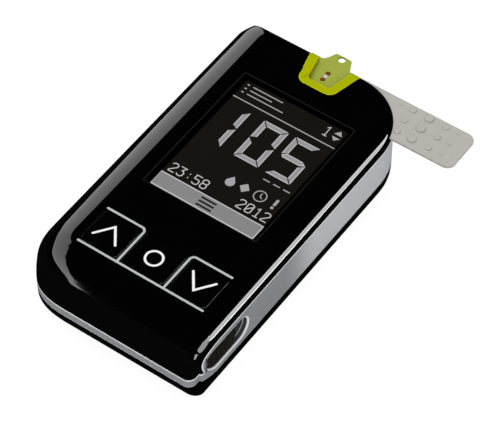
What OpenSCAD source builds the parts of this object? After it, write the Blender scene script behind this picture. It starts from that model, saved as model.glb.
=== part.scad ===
// Pocket blood glucose meter with a side-loaded test strip, three press keys,
// a strip ejector on the right wall and a battery door underneath.
// Millimetres, +Z up. The origin is the centre of the bottom face:
// +X is the reading direction, +Y runs towards the strip port.

/* [Body] */
// Width of the case over its side walls
body_w = 52.4; // [50:0.1:56]
// Length of the case from the nose to the port end
body_l = 92.7; // [90:0.1:100]
// Height of the case
body_h = 19; // [19:0.1:21]
// Wall thickness of the moulded covers
wall = 1.8; // [1.6:0.1:2]
// Reach of the large front left corner along the front edge
front_left_x = 15; // [12:0.5:17]
// Reach of the large front left corner along the left side
front_left_y = 14.4; // [12:0.5:17]
// Reach of the large back right corner both ways
back_right = 16.8; // [13:0.2:18]
// Radius of the small front right corner of the upper case
front_right = 2.2; // [2:0.1:2.6]
// Radius of the front right corner of the bottom cover
front_right_low = 3.2; // [2.8:0.1:3.6]
// Radius of the small back left corner
back_left = 3.5; // [3:0.1:4.5]
// Radius of the wide roll along the left top edge
left_roll = 7.5; // [6.5:0.1:7.5]
// Depth of the wide roll below the top face
left_drop = 6; // [5.8:0.1:7]
// Radius of the tight roll along the right top edge
right_roll = 2.4; // [2.2:0.1:2.6]
// Radius of the roll along the back top edge
back_roll = 1.4; // [1.3:0.05:1.4]
// Length of the sloping nose, measured back from the front edge
nose_run = 9.5; // [8.5:0.1:9.8]
// Depth of the sloping nose below the top face
nose_drop = 11.7; // [10.5:0.1:11.7]
// Radius along the bottom edge
bottom_roll = 3.3; // [2.8:0.1:3.5]
// Radius along the bottom edge of the right wall
side_foot = 2.3; // [2.2:0.1:2.8]
// How far the right wall draws in just behind the front right corner
pinch_w = 1.6; // [1.2:0.1:1.7]
// Length over which the right wall draws in on its inner side
pinch_l = 3.6; // [3:0.1:4]
// Share of the draw that the outer side makes in a long taper behind a step
taper_w = 1; // [0.8:0.05:1.1]
// Length of that taper
taper_l = 5; // [4.5:0.1:5.5]

/* [Silver frame] */
// Height of the joint between the bottom cover and the silver frame
frame_z = 4.4; // [4.2:0.1:4.6]
// Height of the narrow silver band round the front, left and back
band_h = 3; // [2.6:0.1:3]
// Height of the black skirt above the tall silver panel on the right wall
skirt_h = 3.2; // [3.2:0.1:3.5]
// Distance from the front edge to the centre of the panel's round front end
panel_front = 9.3; // [9.2:0.1:9.8]
// Where the panel's round end stands on the back wall, right of the middle
panel_back_x = 8; // [6:0.5:9]

/* [Display] */
// Border beside the display window, as the mean of its two sides
side_border = 9.7; // [9.5:0.1:10]
// Distance of the display and keys to the right of the middle
panel_x = 1.6; // [1.2:0.1:1.8]
// Distance from the nose to the front edge of the window
front_border = 34.95; // [34.8:0.05:35.1]
// Distance from the back edge of the window to the back wall
back_border = 15.45; // [15.3:0.05:15.6]
// Thickness of the display window
window_t = 1.4; // [1.3:0.05:1.4]
// Thickness of the liquid crystal panel
lcd_t = 2.4; // [2:0.1:2.4]
// Height of the backlight between the main board and the panel
light_t = 0.9; // [0.8:0.05:1.2]

/* [Keys] */
// Distance from the nose to the keys' centre line
key_row = 17.4; // [17.2:0.1:17.6]
// Width of the outer keys
side_key_w = 10.7; // [10.2:0.1:10.8]
// Width of the middle key
mid_key_w = 12.1; // [11.8:0.05:12.1]
// Length of each key from front to back
key_l = 10.2; // [9.6:0.1:10.2]
// Width of the pale line round the keys
trim_w = 0.65; // [0.5:0.05:0.7]
// Depth of the pale line's groove
trim_t = 0.4; // [0.3:0.05:0.6]
// How far a key travels when pressed
key_travel = 0.3; // [0.2:0.05:0.35]

/* [Test strip] */
// Width of the test strip
strip_w = 12.3; // [12:0.1:12.5]
// Thickness of the test strip
strip_t = 0.7; // [0.5:0.05:0.7]
// How far the strip reaches in from the right wall
strip_in = 32.1; // [31.8:0.1:32.4]
// How far the strip's grip stands out of the right wall
strip_out = 16.6; // [12:0.1:20]
// Length of the lime head of the strip
head_l = 13.9; // [13:0.1:15]
// How far the sample tip stands out behind the strip's edge
tip_l = 3.6; // [3:0.1:4]
// Thickness of the case roof over the strip
strip_roof = 1.4; // [1.3:0.05:1.4]

/* [Ejector] */
// Distance from the front edge to the oval slider opening
oval_start = 4.7; // [4.6:0.1:5]
// Length of the oval slider opening
oval_l = 15.9; // [15.6:0.1:16.2]
// Height of the oval slider opening
oval_h = 7; // [6.6:0.1:7.2]
// Length of the slider cap inside the opening
cap_l = 11.7; // [11.5:0.1:12]
// Diameter of the pusher's cam pin
cam_pin_d = 1.6; // [1.4:0.1:1.8]

/* [Batteries] */
// Room between the cells and the main board, which sets the cells' diameter
cell_room = 0.5; // [0.5:0.05:0.8]
// Length of one AAA cell with its nub
cell_l = 44.5; // [43:0.1:45]
// Thickness of the battery door
door_t = 1.05; // [0.9:0.05:1.1]

/* [Fits] */
// Gap round sliding pieces
slide_gap = 0.2; // [0.1:0.05:0.25]
// Gap between the strip and its slot, above and below
strip_gap = 0.1; // [0.05:0.01:0.12]
// Radial clearance of pins and screws in their holes
pin_gap = 0.05; // [0.03:0.01:0.08]

/* [Hidden] */
$fn = 48;
eps = 0.01;
reach = 12;                             // overshoot of cutting tools past a wall

// squareness of the large corners and number of steps round each corner
front_left_power = 2.8;
back_right_power = 2.2;
big_steps = 16;
small_steps = 6;
step_steps = 4;                         // along the step behind the front right corner
taper_steps = 6;
roll_steps = 12;                        // heights up the rolled top edge
pinch_start = 2.5;                      // behind the front edge
step_start = 3.2;
step_l = 0.4;
top_corner = 0.4;                       // back left corner's radius high up, as a share of the inset

// heights
band_z = frame_z + band_h;
panel_z = body_h - skirt_h;
panel_r = (panel_z - frame_z) / 2;
panel_mid = frame_z + panel_r;
roof_z = body_h - wall;
lcd_play = 0.1;                         // between the panel and the roof
lcd_z = roof_z - lcd_play - lcd_t;
board_t = 1;
board_top = lcd_z - light_t;
board_z = board_top - board_t;
skin = 0.05;                            // gap between stacked parts that only rest

// places
front_y = -body_l / 2;
back_y = body_l / 2;
right_x = body_w / 2;
left_x = -body_w / 2;
window_w = body_w - 2 * side_border;
window_l = body_l - front_border - back_border;
window_y = (front_border - back_border) / 2;
keys_y = front_y + key_row;
key_shift = 0.15;                       // keys' middle, right of the display's

// ------------------------------------------------------------ case outline

// Inset of a top edge that rolls over, at height z, for a surface w inside
function roll(z, run, drop, w) =
    z <= body_h - drop ? w
    : run - (run - w) * sqrt(max(0, 1 - pow((z - body_h + drop) / (drop - w), 2)));

// Inset of the bottom edge rounded by r at height z, for a surface w inside
function foot(z, w, r) =
    z >= r ? w : r - sqrt(max(0, pow(r - w, 2) - pow(r - z, 2)));

// A share held between 0 and 1, and eased at both ends
function held(t) = min(1, max(0, t));
function eased(t) = held(t) * held(t) * (3 - 2 * held(t));

// How far the right wall is drawn in at distance d behind the front edge. The inner faces make
// one soft bend, the outer face a step and a taper behind it.
function pinch(d, w) =
    w > 0 ? pinch_w * (1 - eased((d - pinch_start) / pinch_l))
    : (pinch_w - taper_w) * (1 - eased((d - step_start) / step_l))
        + taper_w * pow(1 - held((d - step_start - step_l) / taper_l), 2);

// Distances behind the front edge where the wall's bend has a corner
WAIST = concat([for (k = [0:step_steps]) step_start + step_l * k / step_steps],
               [for (k = [1:taper_steps]) step_start + step_l + taper_l * k / taper_steps]);

// A quarter of a superellipse about c, towards the signs in s
function quarter(c, s, a, b, power, steps, backwards) =
    [for (i = [0:steps])
        let (t = 90 * (backwards ? steps - i : i) / steps)
        [c.x + s.x * a * pow(cos(t), 2 / power), c.y + s.y * b * pow(sin(t), 2 / power)]];

// The case outline at height z, anticlockwise, for a surface w inside the outer one.
// The upper case is pinched behind its front right corner, the bottom cover isn't.
function outline(z, w, pinched = true) =
    let (il = max(roll(z, left_roll, left_drop, w), foot(z, w, bottom_roll)),
         ir = max(roll(z, right_roll, right_roll, w), foot(z, w, side_foot)),
         ifr = max(roll(z, nose_run, nose_drop, w), foot(z, w, bottom_roll)),
         ib = max(roll(z, back_roll, back_roll, w), foot(z, w, bottom_roll)),
         x0 = left_x + il, x1 = right_x - ir, y0 = front_y + ifr, y1 = back_y - ib,
         a1 = max(front_left_x - il, 1), b1 = max(front_left_y - ifr, 1),
         corner = pinched ? front_right : front_right_low,
         a2 = max(corner - ir, 0.5), b2 = max(corner - ifr, 0.5),
         a3 = max(back_right - ir, 1), b3 = max(back_right - ib, 1),
         a4 = max(back_left - il, top_corner * il), b4 = max(back_left - ib, top_corner * il),
         draw = pinched ? 1 : 0,
         py = y0 + b2)
    concat(
        quarter([x0 + a1, y0 + b1], [-1, -1], a1, b1, front_left_power, big_steps, false),
        quarter([x1 - draw * pinch(py - front_y, w) - a2, py], [1, -1], a2, b2, 2, small_steps, true),
        [for (k = [0:len(WAIST) - 1])
            let (y = max(front_y + WAIST[k], py + 0.1 * (k + 1)))
            [x1 - draw * pinch(y - front_y, w), y]],
        quarter([x1 - a3, y1 - b3], [1, 1], a3, b3, back_right_power, big_steps, false),
        quarter([x0 + a4, y1 - b4], [-1, 1], a4, b4, 2, small_steps, true));

// A solid through the case outlines at the heights zs
module loft(zs, w, pinched = true) {
    rings = [for (z = zs) [for (p = outline(z, w, pinched)) [p.x, p.y, z]]];
    n = len(rings[0]);
    last = len(zs) - 1;
    polyhedron(
        points = [for (r = rings) each r],
        faces = concat(
            [[for (i = [0:n - 1]) i]],
            [for (k = [0:last - 1], i = [0:n - 1])
                [k * n + i, (k + 1) * n + i, (k + 1) * n + (i + 1) % n, k * n + (i + 1) % n]],
            [[for (i = [0:n - 1]) last * n + n - 1 - i]]));
}

// An upright slice of the case between heights z0 and z1, for a surface w inside
module slice(z0, z1, w) {
    translate([0, 0, z0])
        linear_extrude(z1 - z0)
            polygon(outline(bottom_roll, w));
}

// A wall standing between two outlines
module rim(z0, z1, w_out, w_in) {
    difference() {
        slice(z0, z1, w_out);
        slice(z0 - 1, z1 + 1, w_in);
    }
}

// ------------------------------------------------------------ small shapes

// A block with rounded upright edges, centred in plan, standing on z
module slab(w, l, h, r, x, y, z) {
    translate([x, y, z])
        linear_extrude(h) {
            square([w - 2 * r, l], center = true);
            square([w, l - 2 * r], center = true);
            for (sx = [-1, 1], sy = [-1, 1])
                translate([sx * (w / 2 - r), sy * (l / 2 - r)])
                    circle(r);
        }
}

// A box from one corner to the other
module span(a, b) {
    translate(a)
        cube(b - a);
}

module rod_z(d, z0, z1, x, y) {
    translate([x, y, z0])
        cylinder(d = d, h = z1 - z0);
}

// A stadium lying across the right wall, from x0 to x1
module stadium_x(l, h, x0, x1, y, z) {
    translate([x0, y, z])
        rotate([90, 0, 90])
            linear_extrude(x1 - x0) {
                square([l - h, h], center = true);
                for (s = [-1, 1])
                    translate([s * (l - h) / 2, 0])
                        circle(d = h);
            }
}

// ------------------------------------------------------------ shared places

lip_t = 0.8;                            // thickness and height of the frame's locating lip
lip_h = 1;
screw_d = 1.6;
screw_head_d = 3.2;
screw_head_h = 1;
screw_sink = 0.5;
boss_d = 3.6;
foot_boss_d = 5;
// screw places: x, y, height of the upper boss
SCREWS = [[left_x + 5.7, front_y + 9.9, body_h - 2], [right_x - 12.2, front_y + 7.9, body_h - 2.2],
          [left_x + 5.7, back_y - 7.9, body_h - 2], [right_x - 5.3, back_y - 26.35, body_h - 1.2]];

// Where the tall silver panel stands on the right and back walls
module panel_zone() {
    end_y = front_y + panel_front;
    span([right_x - wall - 0.6, end_y, frame_z], [right_x + 1, back_y - back_right, panel_z]);
    translate([right_x - wall - pinch_w - 0.4, end_y, panel_mid])
        rotate([0, 90, 0])
            cylinder(r = panel_r, h = wall + pinch_w + 2, $fn = 64);
    difference() {
        span([panel_back_x, back_y - back_right - eps, frame_z], [right_x + 1, back_y + 1, panel_z]);
        span([panel_back_x - 1, 0, 0], [right_x - back_right, back_y - wall - 0.4, body_h]);
    }
    translate([panel_back_x, back_y - wall - 0.4, panel_mid])
        rotate([-90, 0, 0])
            cylinder(r = panel_r, h = wall + 2, $fn = 64);
}

// Test strip, measured from the case
strip_back = back_y + 0.7;
strip_front = strip_back - strip_w;
strip_top = body_h - strip_roof - strip_gap;
strip_z = strip_top - strip_t;
strip_right = right_x + strip_out;
strip_left = right_x - strip_in;
head_right = strip_left + head_l;
slot_z = strip_z - strip_gap;

// Port bezel outline
port_x = strip_left + 7.8;
port_depth = 10.1;
port_front = 5.1;                       // half widths at the front and past the back wall
port_back = 7.85;
port_r = 2.6;
port_r_in = 1.2;
port_frame = 2.1;

// A trapezoid open to the back, with rounded front corners
module port_outline(half_front, half_back, y0, y1, r) {
    lean = atan((half_back - half_front) / (y1 - y0));
    cx = half_front - r * tan(45 - lean / 2);
    polygon([for (s = [-1, 1], q = (s < 0 ? [0, 1, 2] : [2, 1, 0]))
        q == 0 ? [port_x + s * half_back, y1]
        : q == 1 ? [port_x + s * (cx + r * cos(lean)), y0 + r - r * sin(lean)]
        : [port_x + s * cx, y0]]);
    for (s = [-1, 1])
        translate([port_x + s * cx, y0 + r])
            circle(r);
}

// Ejector: slider, rod and pusher
oval_y = front_y + oval_start + oval_l / 2;
oval_lip = 0.45;
travel = oval_l - cap_l - 2 * slide_gap;
cap_y = oval_y - oval_l / 2 + slide_gap + cap_l / 2;
inner_x = right_x - wall;
shoe_x = inner_x - slide_gap;
shoe_t = 1.8;
shoe_front = oval_y - oval_l / 2 + 2.35;
shoe_back = oval_y + oval_l / 2 + 0.4;
bed_x = shoe_x - shoe_t - slide_gap;
bed_t = 1;
rod_z0 = board_top + 0.1;
rod_t = 1;
rod_w = 1.2;
pusher_z = rod_z0 + rod_t + 0.1;
guide_z = panel_z;
pusher_t = guide_z - 0.1 - pusher_z;
pin_x = strip_left + 10.9;
pusher_w = 2.6;
finger_l = 2;
rail_t = 0.8;
pin_y = back_y - 7.45;
spring_d = 2;
spring_wire = 0.4;
spring_end = shoe_back + 9.3;

// Battery compartment
cell_d = board_z - wall - cell_room;
cell_gap = 0.7;
cell_x = (cell_d + cell_gap) / 2;
cell_z = wall + cell_d / 2 + skin;
bay_w = 2 * cell_d + 2 * cell_gap + 0.4;
contact_t = 0.4;
spring_reach = 3;
bay_l = 2 * contact_t + spring_reach + cell_l + skin;
bay_y0 = front_y + 15.85;
bay_y1 = bay_y0 + bay_l;
bay_mid = (bay_y0 + bay_y1) / 2;
bay_wall = 1;
ledge = 0.9;
door_sink = 0.15;

// ------------------------------------------------------------ case

module boss_bores(z0, z1) {
    for (s = SCREWS)
        rod_z(screw_d + 2 * pin_gap, z0, z1, s.x, s.y);
}

module bottom_cover() color("#0b0b0c") {
    difference() {
        union() {
            difference() {
                loft([0, 0.25, 0.9, 1.9, bottom_roll, frame_z], 0, false);
                loft([wall, bottom_roll, frame_z + 1], wall, false);
            }
            // lip that locates the silver frame, open beside the slider
            difference() {
                union() {
                    rim(frame_z - 1, frame_z, wall - 0.3, wall + lip_t);
                    rim(frame_z - eps, frame_z + lip_h, wall + pin_gap, wall + lip_t);
                }
                span([bed_x - bed_t - slide_gap, front_y, 0],
                     [right_x, oval_y + oval_l, frame_z + lip_h + 1]);
            }
            // battery bay walls
            difference() {
                slab(bay_w + 2 * bay_wall, bay_l + 2 * bay_wall, board_z - 0.3 - eps, 1, 0, bay_mid, eps);
                slab(bay_w, bay_l, body_h, 0.3, 0, bay_mid, -1);
            }
            for (s = SCREWS)
                rod_z(foot_boss_d, wall - eps, board_z, s.x, s.y);
        }
        boss_bores(-1, board_z + 1);
        for (s = SCREWS)
            rod_z(screw_head_d + 0.2, -1, screw_sink + screw_head_h, s.x, s.y);
        // bay opening and the door's seat
        slab(bay_w, bay_l, wall + 2, 0.3, 0, bay_mid, -1);
        slab(bay_w + 2 * ledge, bay_l + 2 * ledge, door_sink + door_t + 1, 1, 0, bay_mid, -1);
    }
}

module mid_frame() color("#b4b5b8") {
    difference() {
        union() {
            rim(frame_z, band_z, 0, wall);
            intersection() {
                rim(frame_z, panel_z, 0, wall);
                panel_zone();
            }
        }
        // oval slider opening with a stepped lip
        stadium_x(oval_l, oval_h, inner_x - 3, right_x + 1, oval_y, panel_mid);
        stadium_x(oval_l + 2 * oval_lip, oval_h + 2 * oval_lip, right_x - oval_lip, right_x + 1,
                  oval_y, panel_mid);
    }
}

// Openings of one key in the roof, with the same gap all round
module key_place(i) {
    offset_x = mid_key_w / 2 + side_key_w / 2 + 1.36;
    translate([panel_x + key_shift + i * offset_x, keys_y, 0])
        children();
}

key_gap = 0.15;

module key_opening(i) {
    w = i == 0 ? mid_key_w : side_key_w;
    key_place(i)
        slab(w + 2 * key_gap, key_l + 2 * key_gap, wall + 2, 1, 0, 0, roof_z - 1);
}

// The pale line round the keys: baseline, two uprights and two outer top lines
module trim_lines(w) {
    base_y = -key_l / 2 - 0.4 - trim_w / 2;
    top_y = key_l / 2 + 0.4 + trim_w / 2;
    bend = 1.2;
    up_x = mid_key_w / 2 + 0.68;
    far_x = up_x + side_key_w + 0.9;
    translate([panel_x + key_shift, keys_y]) {
        translate([-far_x, base_y - w / 2])
            square([2 * far_x, w]);
        for (s = [-1, 1]) scale([s, 1]) {
            translate([up_x - w / 2, base_y])
                square([w, top_y - base_y - bend]);
            translate([up_x + bend, top_y - w / 2])
                square([far_x - up_x - bend, w]);
            translate([up_x + bend, top_y - bend])
                intersection() {
                    difference() {
                        circle(bend + w / 2);
                        circle(bend - w / 2);
                    }
                    translate([-2 * bend, 0])
                        square(2 * bend);
                }
        }
    }
}

// Slot that the strip runs in, open on the right and back walls
module strip_slot() {
    span([strip_left - 0.3, strip_front - 0.15, slot_z],
         [strip_right, back_y + reach, strip_top + strip_gap]);
    span([strip_left - finger_l - 0.1 - 0.3, pin_y - pusher_w / 2 - 0.4, slot_z],
         [strip_left, pin_y + pusher_w / 2 + 0.4, strip_top + strip_gap]);
}

module top_cover() color("#0b0b0c") {
    steps = [for (i = [0:roll_steps]) nose_drop * pow(1 - i / roll_steps, 2)];
    inner = [for (i = [0:roll_steps - 2]) (nose_drop - wall) * pow(1 - i / (roll_steps - 2), 2)];
    difference() {
        union() {
            difference() {
                loft([band_z, for (h = steps) if (body_h - h > band_z + 0.2) body_h - h], 0);
                loft([band_z - 1, for (h = inner) if (roof_z - h > band_z) roof_z - h], wall);
                panel_zone();
            }
            for (s = SCREWS)
                rod_z(boss_d, board_top, s.z, s.x, s.y);
        }
        boss_bores(board_top - 1, board_top + 2.6);
        // display window, seated on a ledge round the lit area
        slab(window_w + 2 * skin, window_l + 2 * skin, window_t + 1, 1, panel_x, window_y, body_h - window_t);
        slab(lcd_w - 1.96, lcd_l - 2.04, wall + 2, 0.4, lcd_x, lcd_y, roof_z - 1);
        for (i = [-1:1]) key_opening(i);
        translate([0, 0, body_h - trim_t])
            linear_extrude(1)
                trim_lines(trim_w);
        strip_slot();
        port_cut();
    }
}

// Opening in the roof that the port bezel fills
module port_cut() {
    translate([0, 0, strip_top + strip_gap])
        linear_extrude(strip_roof + 1)
            port_outline(port_front, port_back, back_y - port_depth, back_y + 1, port_r);
}

module port_bezel() color("#aeb70e") {
    intersection() {
        difference() {
            translate([0, 0, strip_top + strip_gap])
                linear_extrude(strip_roof)
                    port_outline(port_front, port_back, back_y - port_depth, back_y + 1, port_r);
            translate([0, 0, strip_top])
                linear_extrude(strip_roof + 1)
                    port_outline(port_front - port_frame + 0.3, port_back - port_frame - 0.3,
                                 back_y - port_depth + port_frame, back_y + 1, port_r_in);
        }
        // back edge rolled like the case
        translate([port_x - 15, 0, 0])
            rotate([90, 0, 90])
                linear_extrude(30) {
                    square([back_y - back_roll, body_h]);
                    square([back_y, body_h - back_roll]);
                    translate([back_y - back_roll, body_h - back_roll])
                        circle(back_roll);
                }
    }
}

// ------------------------------------------------------------ display

lcd_w = window_w - 0.8;
lcd_l = window_l + 0.3;
lcd_x = panel_x - 0.28;
lcd_y = window_y + 0.3;
tray_wall = 0.7;
tray_gap = 0.1;                         // round the panel, both sides together
light_margin = 2.6;                     // from the panel's edge to the backlight's
connector_w = 1.6;

module display_window() color([0.05, 0.05, 0.06, 0.6])
    slab(window_w, window_l, window_t, 1, panel_x, window_y, body_h - window_t);

module lcd_panel() color("#171612")
    slab(lcd_w, lcd_l, lcd_t, 0.3, lcd_x, lcd_y, lcd_z);

module lcd_frame() color("#e8e8e4") {
    rim_w = 2 * tray_wall + tray_gap;
    difference() {
        slab(lcd_w + rim_w, lcd_l + rim_w, roof_z - lcd_play - board_top, 0.8, lcd_x, lcd_y, board_top);
        slab(lcd_w + tray_gap, lcd_l + tray_gap, lcd_t + 1, 0.35, lcd_x, lcd_y, lcd_z);
        backlight_place(2 * tray_gap, board_z, reach);
        connector_place(2 * tray_gap, board_z, reach);
    }
}

// The backlight's block, grown by gap all told, from z up to z + h
module backlight_place(gap, z, h)
    slab(lcd_w - 2 * light_margin + gap, lcd_l - 3.5 * light_margin + gap, h, 0.4,
         lcd_x, lcd_y + light_margin * 0.6, z);

// The connector's block between the panel's front end and the board
module connector_place(gap, z, h)
    slab(lcd_w - 2 * light_margin + gap, connector_w + gap, h, 0.2,
         lcd_x, lcd_y - lcd_l / 2 + light_margin, z);

module backlight() color("#f4f6fb")
    backlight_place(0, board_top, light_t - 0.02);

module lcd_connector() color("#6d6f76")
    connector_place(0, board_top, light_t - 0.02);

// ------------------------------------------------------------ keys

dome_h = 0.55;
flange_h = 0.8;
flange = 0.5;

// A key: cap in the roof, flange under it and a stem over its dome
module key(i) {
    w = i == 0 ? mid_key_w : side_key_w;
    key_place(i) {
        slab(w, key_l, body_h - roof_z + skin + eps, 0.85, 0, 0, roof_z - skin - eps);
        slab(w + 2 * flange, key_l + 2 * flange, flange_h, 1.2, 0, 0, roof_z - skin - flange_h);
        rod_z(3.2, board_top + dome_h + key_travel + 0.02, roof_z - flange_h, 0, 0);
    }
}

module up_key() color("#0d0d0e") key(-1);
module enter_key() color("#0d0d0e") key(0);
module down_key() color("#0d0d0e") key(1);

module key_trim() color("#c8caca")
    translate([0, 0, body_h - trim_t])
        linear_extrude(trim_t)
            trim_lines(trim_w);

module key_domes() color("#c9ccd2")
    for (i = [-1:1])
        key_place(i)
            translate([0, 0, board_top])
                rotate_extrude()
                    polygon([[0, 0], [2.6, 0], [2.3, 0.2], [1.5, 0.45], [0.7, dome_h], [0, dome_h]]);

// ------------------------------------------------------------ electronics

module main_board() color("#1f6b3a") {
    difference() {
        intersection() {
            slice(board_z, board_top, wall + 1.2);
            union() {
                span([left_x, front_y + 5.2, 0], [bed_x - bed_t - slide_gap, back_y - wall - 1.2, body_h]);
                span([0, spring_end + 2, 0], [inner_x - 1.4, back_y - back_right, body_h]);
            }
        }
        boss_bores(0, body_h);
    }
}

chip_l = 7.5;
chip_t = 1.2;

module controller_chip() color("#2a2a2d")
    translate([panel_x - chip_l / 2, bay_y0 - bay_wall - 0.8 - chip_l, board_z - chip_t])
        cube([chip_l, chip_l, chip_t]);

buzzer_d = 9;
buzzer_h = 2.4;
buzzer_x = left_x + 12.5;
buzzer_y = bay_y1 + bay_wall + 1 + buzzer_d / 2;

// Round sounder with its sound hole underneath
module buzzer() color("#26262a")
    difference() {
        rod_z(buzzer_d, board_z - buzzer_h, board_z, buzzer_x, buzzer_y);
        rod_z(buzzer_d / 6, board_z - buzzer_h - 1, board_z - buzzer_h / 2, buzzer_x, buzzer_y);
    }

// ------------------------------------------------------------ strip port

module strip_guide() color("#19191b") {
    difference() {
        union() {
            intersection() {
                union() {
                    span([strip_left - 3.1, strip_front - 0.15, guide_z], [right_x, back_y, slot_z]);
                    span([strip_left - 3.1, strip_front - 1.1, guide_z],
                         [right_x, strip_front - 0.15, roof_z - skin]);
                }
                slice(0, body_h, wall + 0.1);
            }
            // rails for the pusher and posts down to the board
            for (s = [-1, 1])
                translate([strip_left - 3.1, pin_y + s * (pusher_w / 2 + slide_gap + rail_t / 2) - rail_t / 2, pusher_z])
                    cube([pin_x - strip_left + 11.1, rail_t, guide_z - pusher_z + eps]);
            for (y = [strip_front + 0.6, back_y - wall - 1.6])
                rod_z(1.6, board_top, guide_z + eps, strip_left - 1.5, y);
        }
        span([strip_left - finger_l - 0.1 - slide_gap, pin_y - pusher_w / 2 - slide_gap, 0],
             [strip_left + travel + 0.1, pin_y + pusher_w / 2 + slide_gap, body_h]);
        for (k = [-1:1])
            span([contact_x, contact_y + k * contact_pitch - contact_w / 2, slot_z - 0.3],
                 [contact_x + contact_l, contact_y + k * contact_pitch + contact_w / 2, body_h]);
    }
}

contact_x = head_right + 0.5;
contact_y = strip_front + 5.4;
contact_pitch = 3;
contact_w = 1;
contact_l = 5;

module strip_contacts() color("#d8b45a")
    for (k = [-1:1])
        span([contact_x, contact_y + k * contact_pitch - contact_w / 2, slot_z - 0.3],
             [contact_x + contact_l, contact_y + k * contact_pitch + contact_w / 2, slot_z + 0.04]);

// Outline of the strip's head with the sample tip on its back edge
tip_x = strip_left + 7.2;
tip_root = 4.15;
tip_end = 2.2;

module strip_head() color("#a9b34f") {
    difference() {
        union() {
            span([strip_left, strip_front, strip_z], [head_right, strip_back, strip_top]);
            translate([tip_x, strip_back, strip_z])
                linear_extrude(strip_t)
                    polygon([[-tip_root, -1], [-tip_root, 0], [-tip_end, tip_l], [tip_end, tip_l],
                             [tip_root - 1.2, 0], [tip_root - 1.2, -1]]);
        }
        // sample hole just inside the tip's edge
        translate([tip_x + 0.1, strip_back + tip_l - 1.1, strip_z - 1])
            linear_extrude(strip_t + 2) {
                circle(0.7);
                translate([-0.7, 0])
                    square([1.4, 0.8]);
            }
        for (y = electrode_ys)
            rod_z(electrode_d, strip_top - electrode_t, body_h, electrode_x, y);
    }
}

electrode_x = strip_left + 7.3;
electrode_d = 1.4;
electrode_t = 0.3;
electrode_ys = [strip_back - 3.6, strip_back - 5.9];

module strip_electrodes() color("#6b3f18")
    for (y = electrode_ys)
        rod_z(electrode_d, strip_top - electrode_t, strip_top, electrode_x, y);

// Grip of the strip with its raised dots: each row is its distance from the strip's
// back edge, and each dot its distance from the strip's end and its diameter
dot_rows = [1.65, 5.55, 9.55];
dot_cols = [[21.1, 1], [17.5, 1.9], [12.8, 2.6], [8, 1.9], [4.55, 1]];
dot_h = 0.22;

module strip_handle() color("#bdbcb5") {
    grip_r = 2.3;
    length = strip_right - head_right;
    mid_x = (strip_right + head_right) / 2;
    mid_y = (strip_front + strip_back) / 2;
    slab(length, strip_w, strip_t, grip_r, mid_x, mid_y, strip_z);
    span([head_right, strip_front, strip_z], [head_right + 2 * grip_r, strip_back, strip_top]);
    // the first column shows in the back row only: the roof covers it in the others
    for (i = [0:len(dot_rows) - 1], j = [i == 0 ? 0 : 1:len(dot_cols) - 1])
        translate([strip_right - dot_cols[j][0] + (i == 2 && j == 1 ? 0.4 : 0),
                   strip_back - dot_rows[i], strip_top])
            cylinder(d1 = dot_cols[j][1], d2 = dot_cols[j][1] * 0.6, h = dot_h, $fn = 24);
}

// ------------------------------------------------------------ ejector

// The cap under the thumb: crowned along its length, with grip ribs
module ejector_slider() color("#23221f") {
    crown_r = 32;
    ribs = 5;
    rib_pitch = 1.9;
    rib_h = 0.25;
    cap_top = right_x - 0.1;
    intersection() {
        stadium_x(cap_l, oval_h - 2 * slide_gap, shoe_x, right_x + 1, cap_y, panel_mid);
        union() {
            rod_z(2 * crown_r, 0, body_h, cap_top - crown_r, cap_y, $fn = 360);
            for (k = [0:ribs - 1])
                translate([0, cap_y + (k - (ribs - 1) / 2) * rib_pitch, 0])
                    span([shoe_x, -0.35, panel_mid - oval_h / 2 + 1.1],
                         [cap_top + rib_h - pow(abs(k - 2) * rib_pitch, 2) / 2 / crown_r, 0.35,
                          panel_mid + oval_h / 2 - 1.1]);
        }
    }
}

// The shoe that runs behind the panel and carries the cap
module slider_shoe() color("#4a4b4f") {
    span([shoe_x - shoe_t, shoe_front, panel_mid - oval_h / 2 - 0.4],
         [shoe_x, shoe_back, rod_z0]);
    rod_z(0.8, rod_z0 - eps, rod_z0 + 0.8, shoe_x - shoe_t / 2, shoe_back - 3);
    translate([shoe_x - shoe_t / 2 - 0.05, shoe_back - eps, panel_mid])
        rotate([-90, 0, 0])
            cylinder(d = 1, h = 2);
}

module slider_bed() color("#4a4b4f") {
    span([bed_x - bed_t, oval_y - oval_l / 2, wall], [bed_x, spring_end + 1, rod_z0 - 0.2]);
    span([bed_x - eps, spring_end, panel_mid - 2], [inner_x - 0.1, spring_end + 1, panel_mid + 2]);
}

module ejector_rod() color("#d9dadc") {
    rod_x1 = inner_x - slide_gap;
    rod_x0 = rod_x1 - rod_w;
    plate_y0 = pin_y - 5.5;
    plate_y1 = pin_y + 1.5;
    plate_x0 = pin_x - 2.5;
    plate_x1 = pin_x + 7.5;
    turn_y = back_y - 20;
    difference() {
        translate([0, 0, rod_z0])
            linear_extrude(rod_t) {
                polygon([[rod_x0, shoe_back - 5], [rod_x1, shoe_back - 5], [rod_x1, turn_y],
                         [rod_x1 - 3.6, turn_y + 7.6], [plate_x1, plate_y0 + 2.6], [plate_x1, plate_y1],
                         [plate_x0, plate_y1], [plate_x0, plate_y0], [plate_x1, plate_y0],
                         [rod_x0 - 3.4, turn_y + 5.7], [rod_x0, turn_y - 0.7]]);
                translate([shoe_x - shoe_t, shoe_back - 5])
                    square([shoe_t, 4]);
            }
        rod_z(0.8 + 2 * pin_gap, 0, body_h, shoe_x - shoe_t / 2, shoe_back - 3);
        cam_slot();
    }
}

// Slanted slot that turns the slider's travel into the pusher's
module cam_slot() {
    d = cam_pin_d + 2 * pin_gap;
    translate([pin_x, pin_y, rod_z0 - 1])
        linear_extrude(rod_t + 2) {
            circle(d = d);
            translate([travel, -travel])
                circle(d = d);
            rotate(-45)
                translate([0, -d / 2])
                    square([travel * sqrt(2), d]);
        }
}

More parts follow.
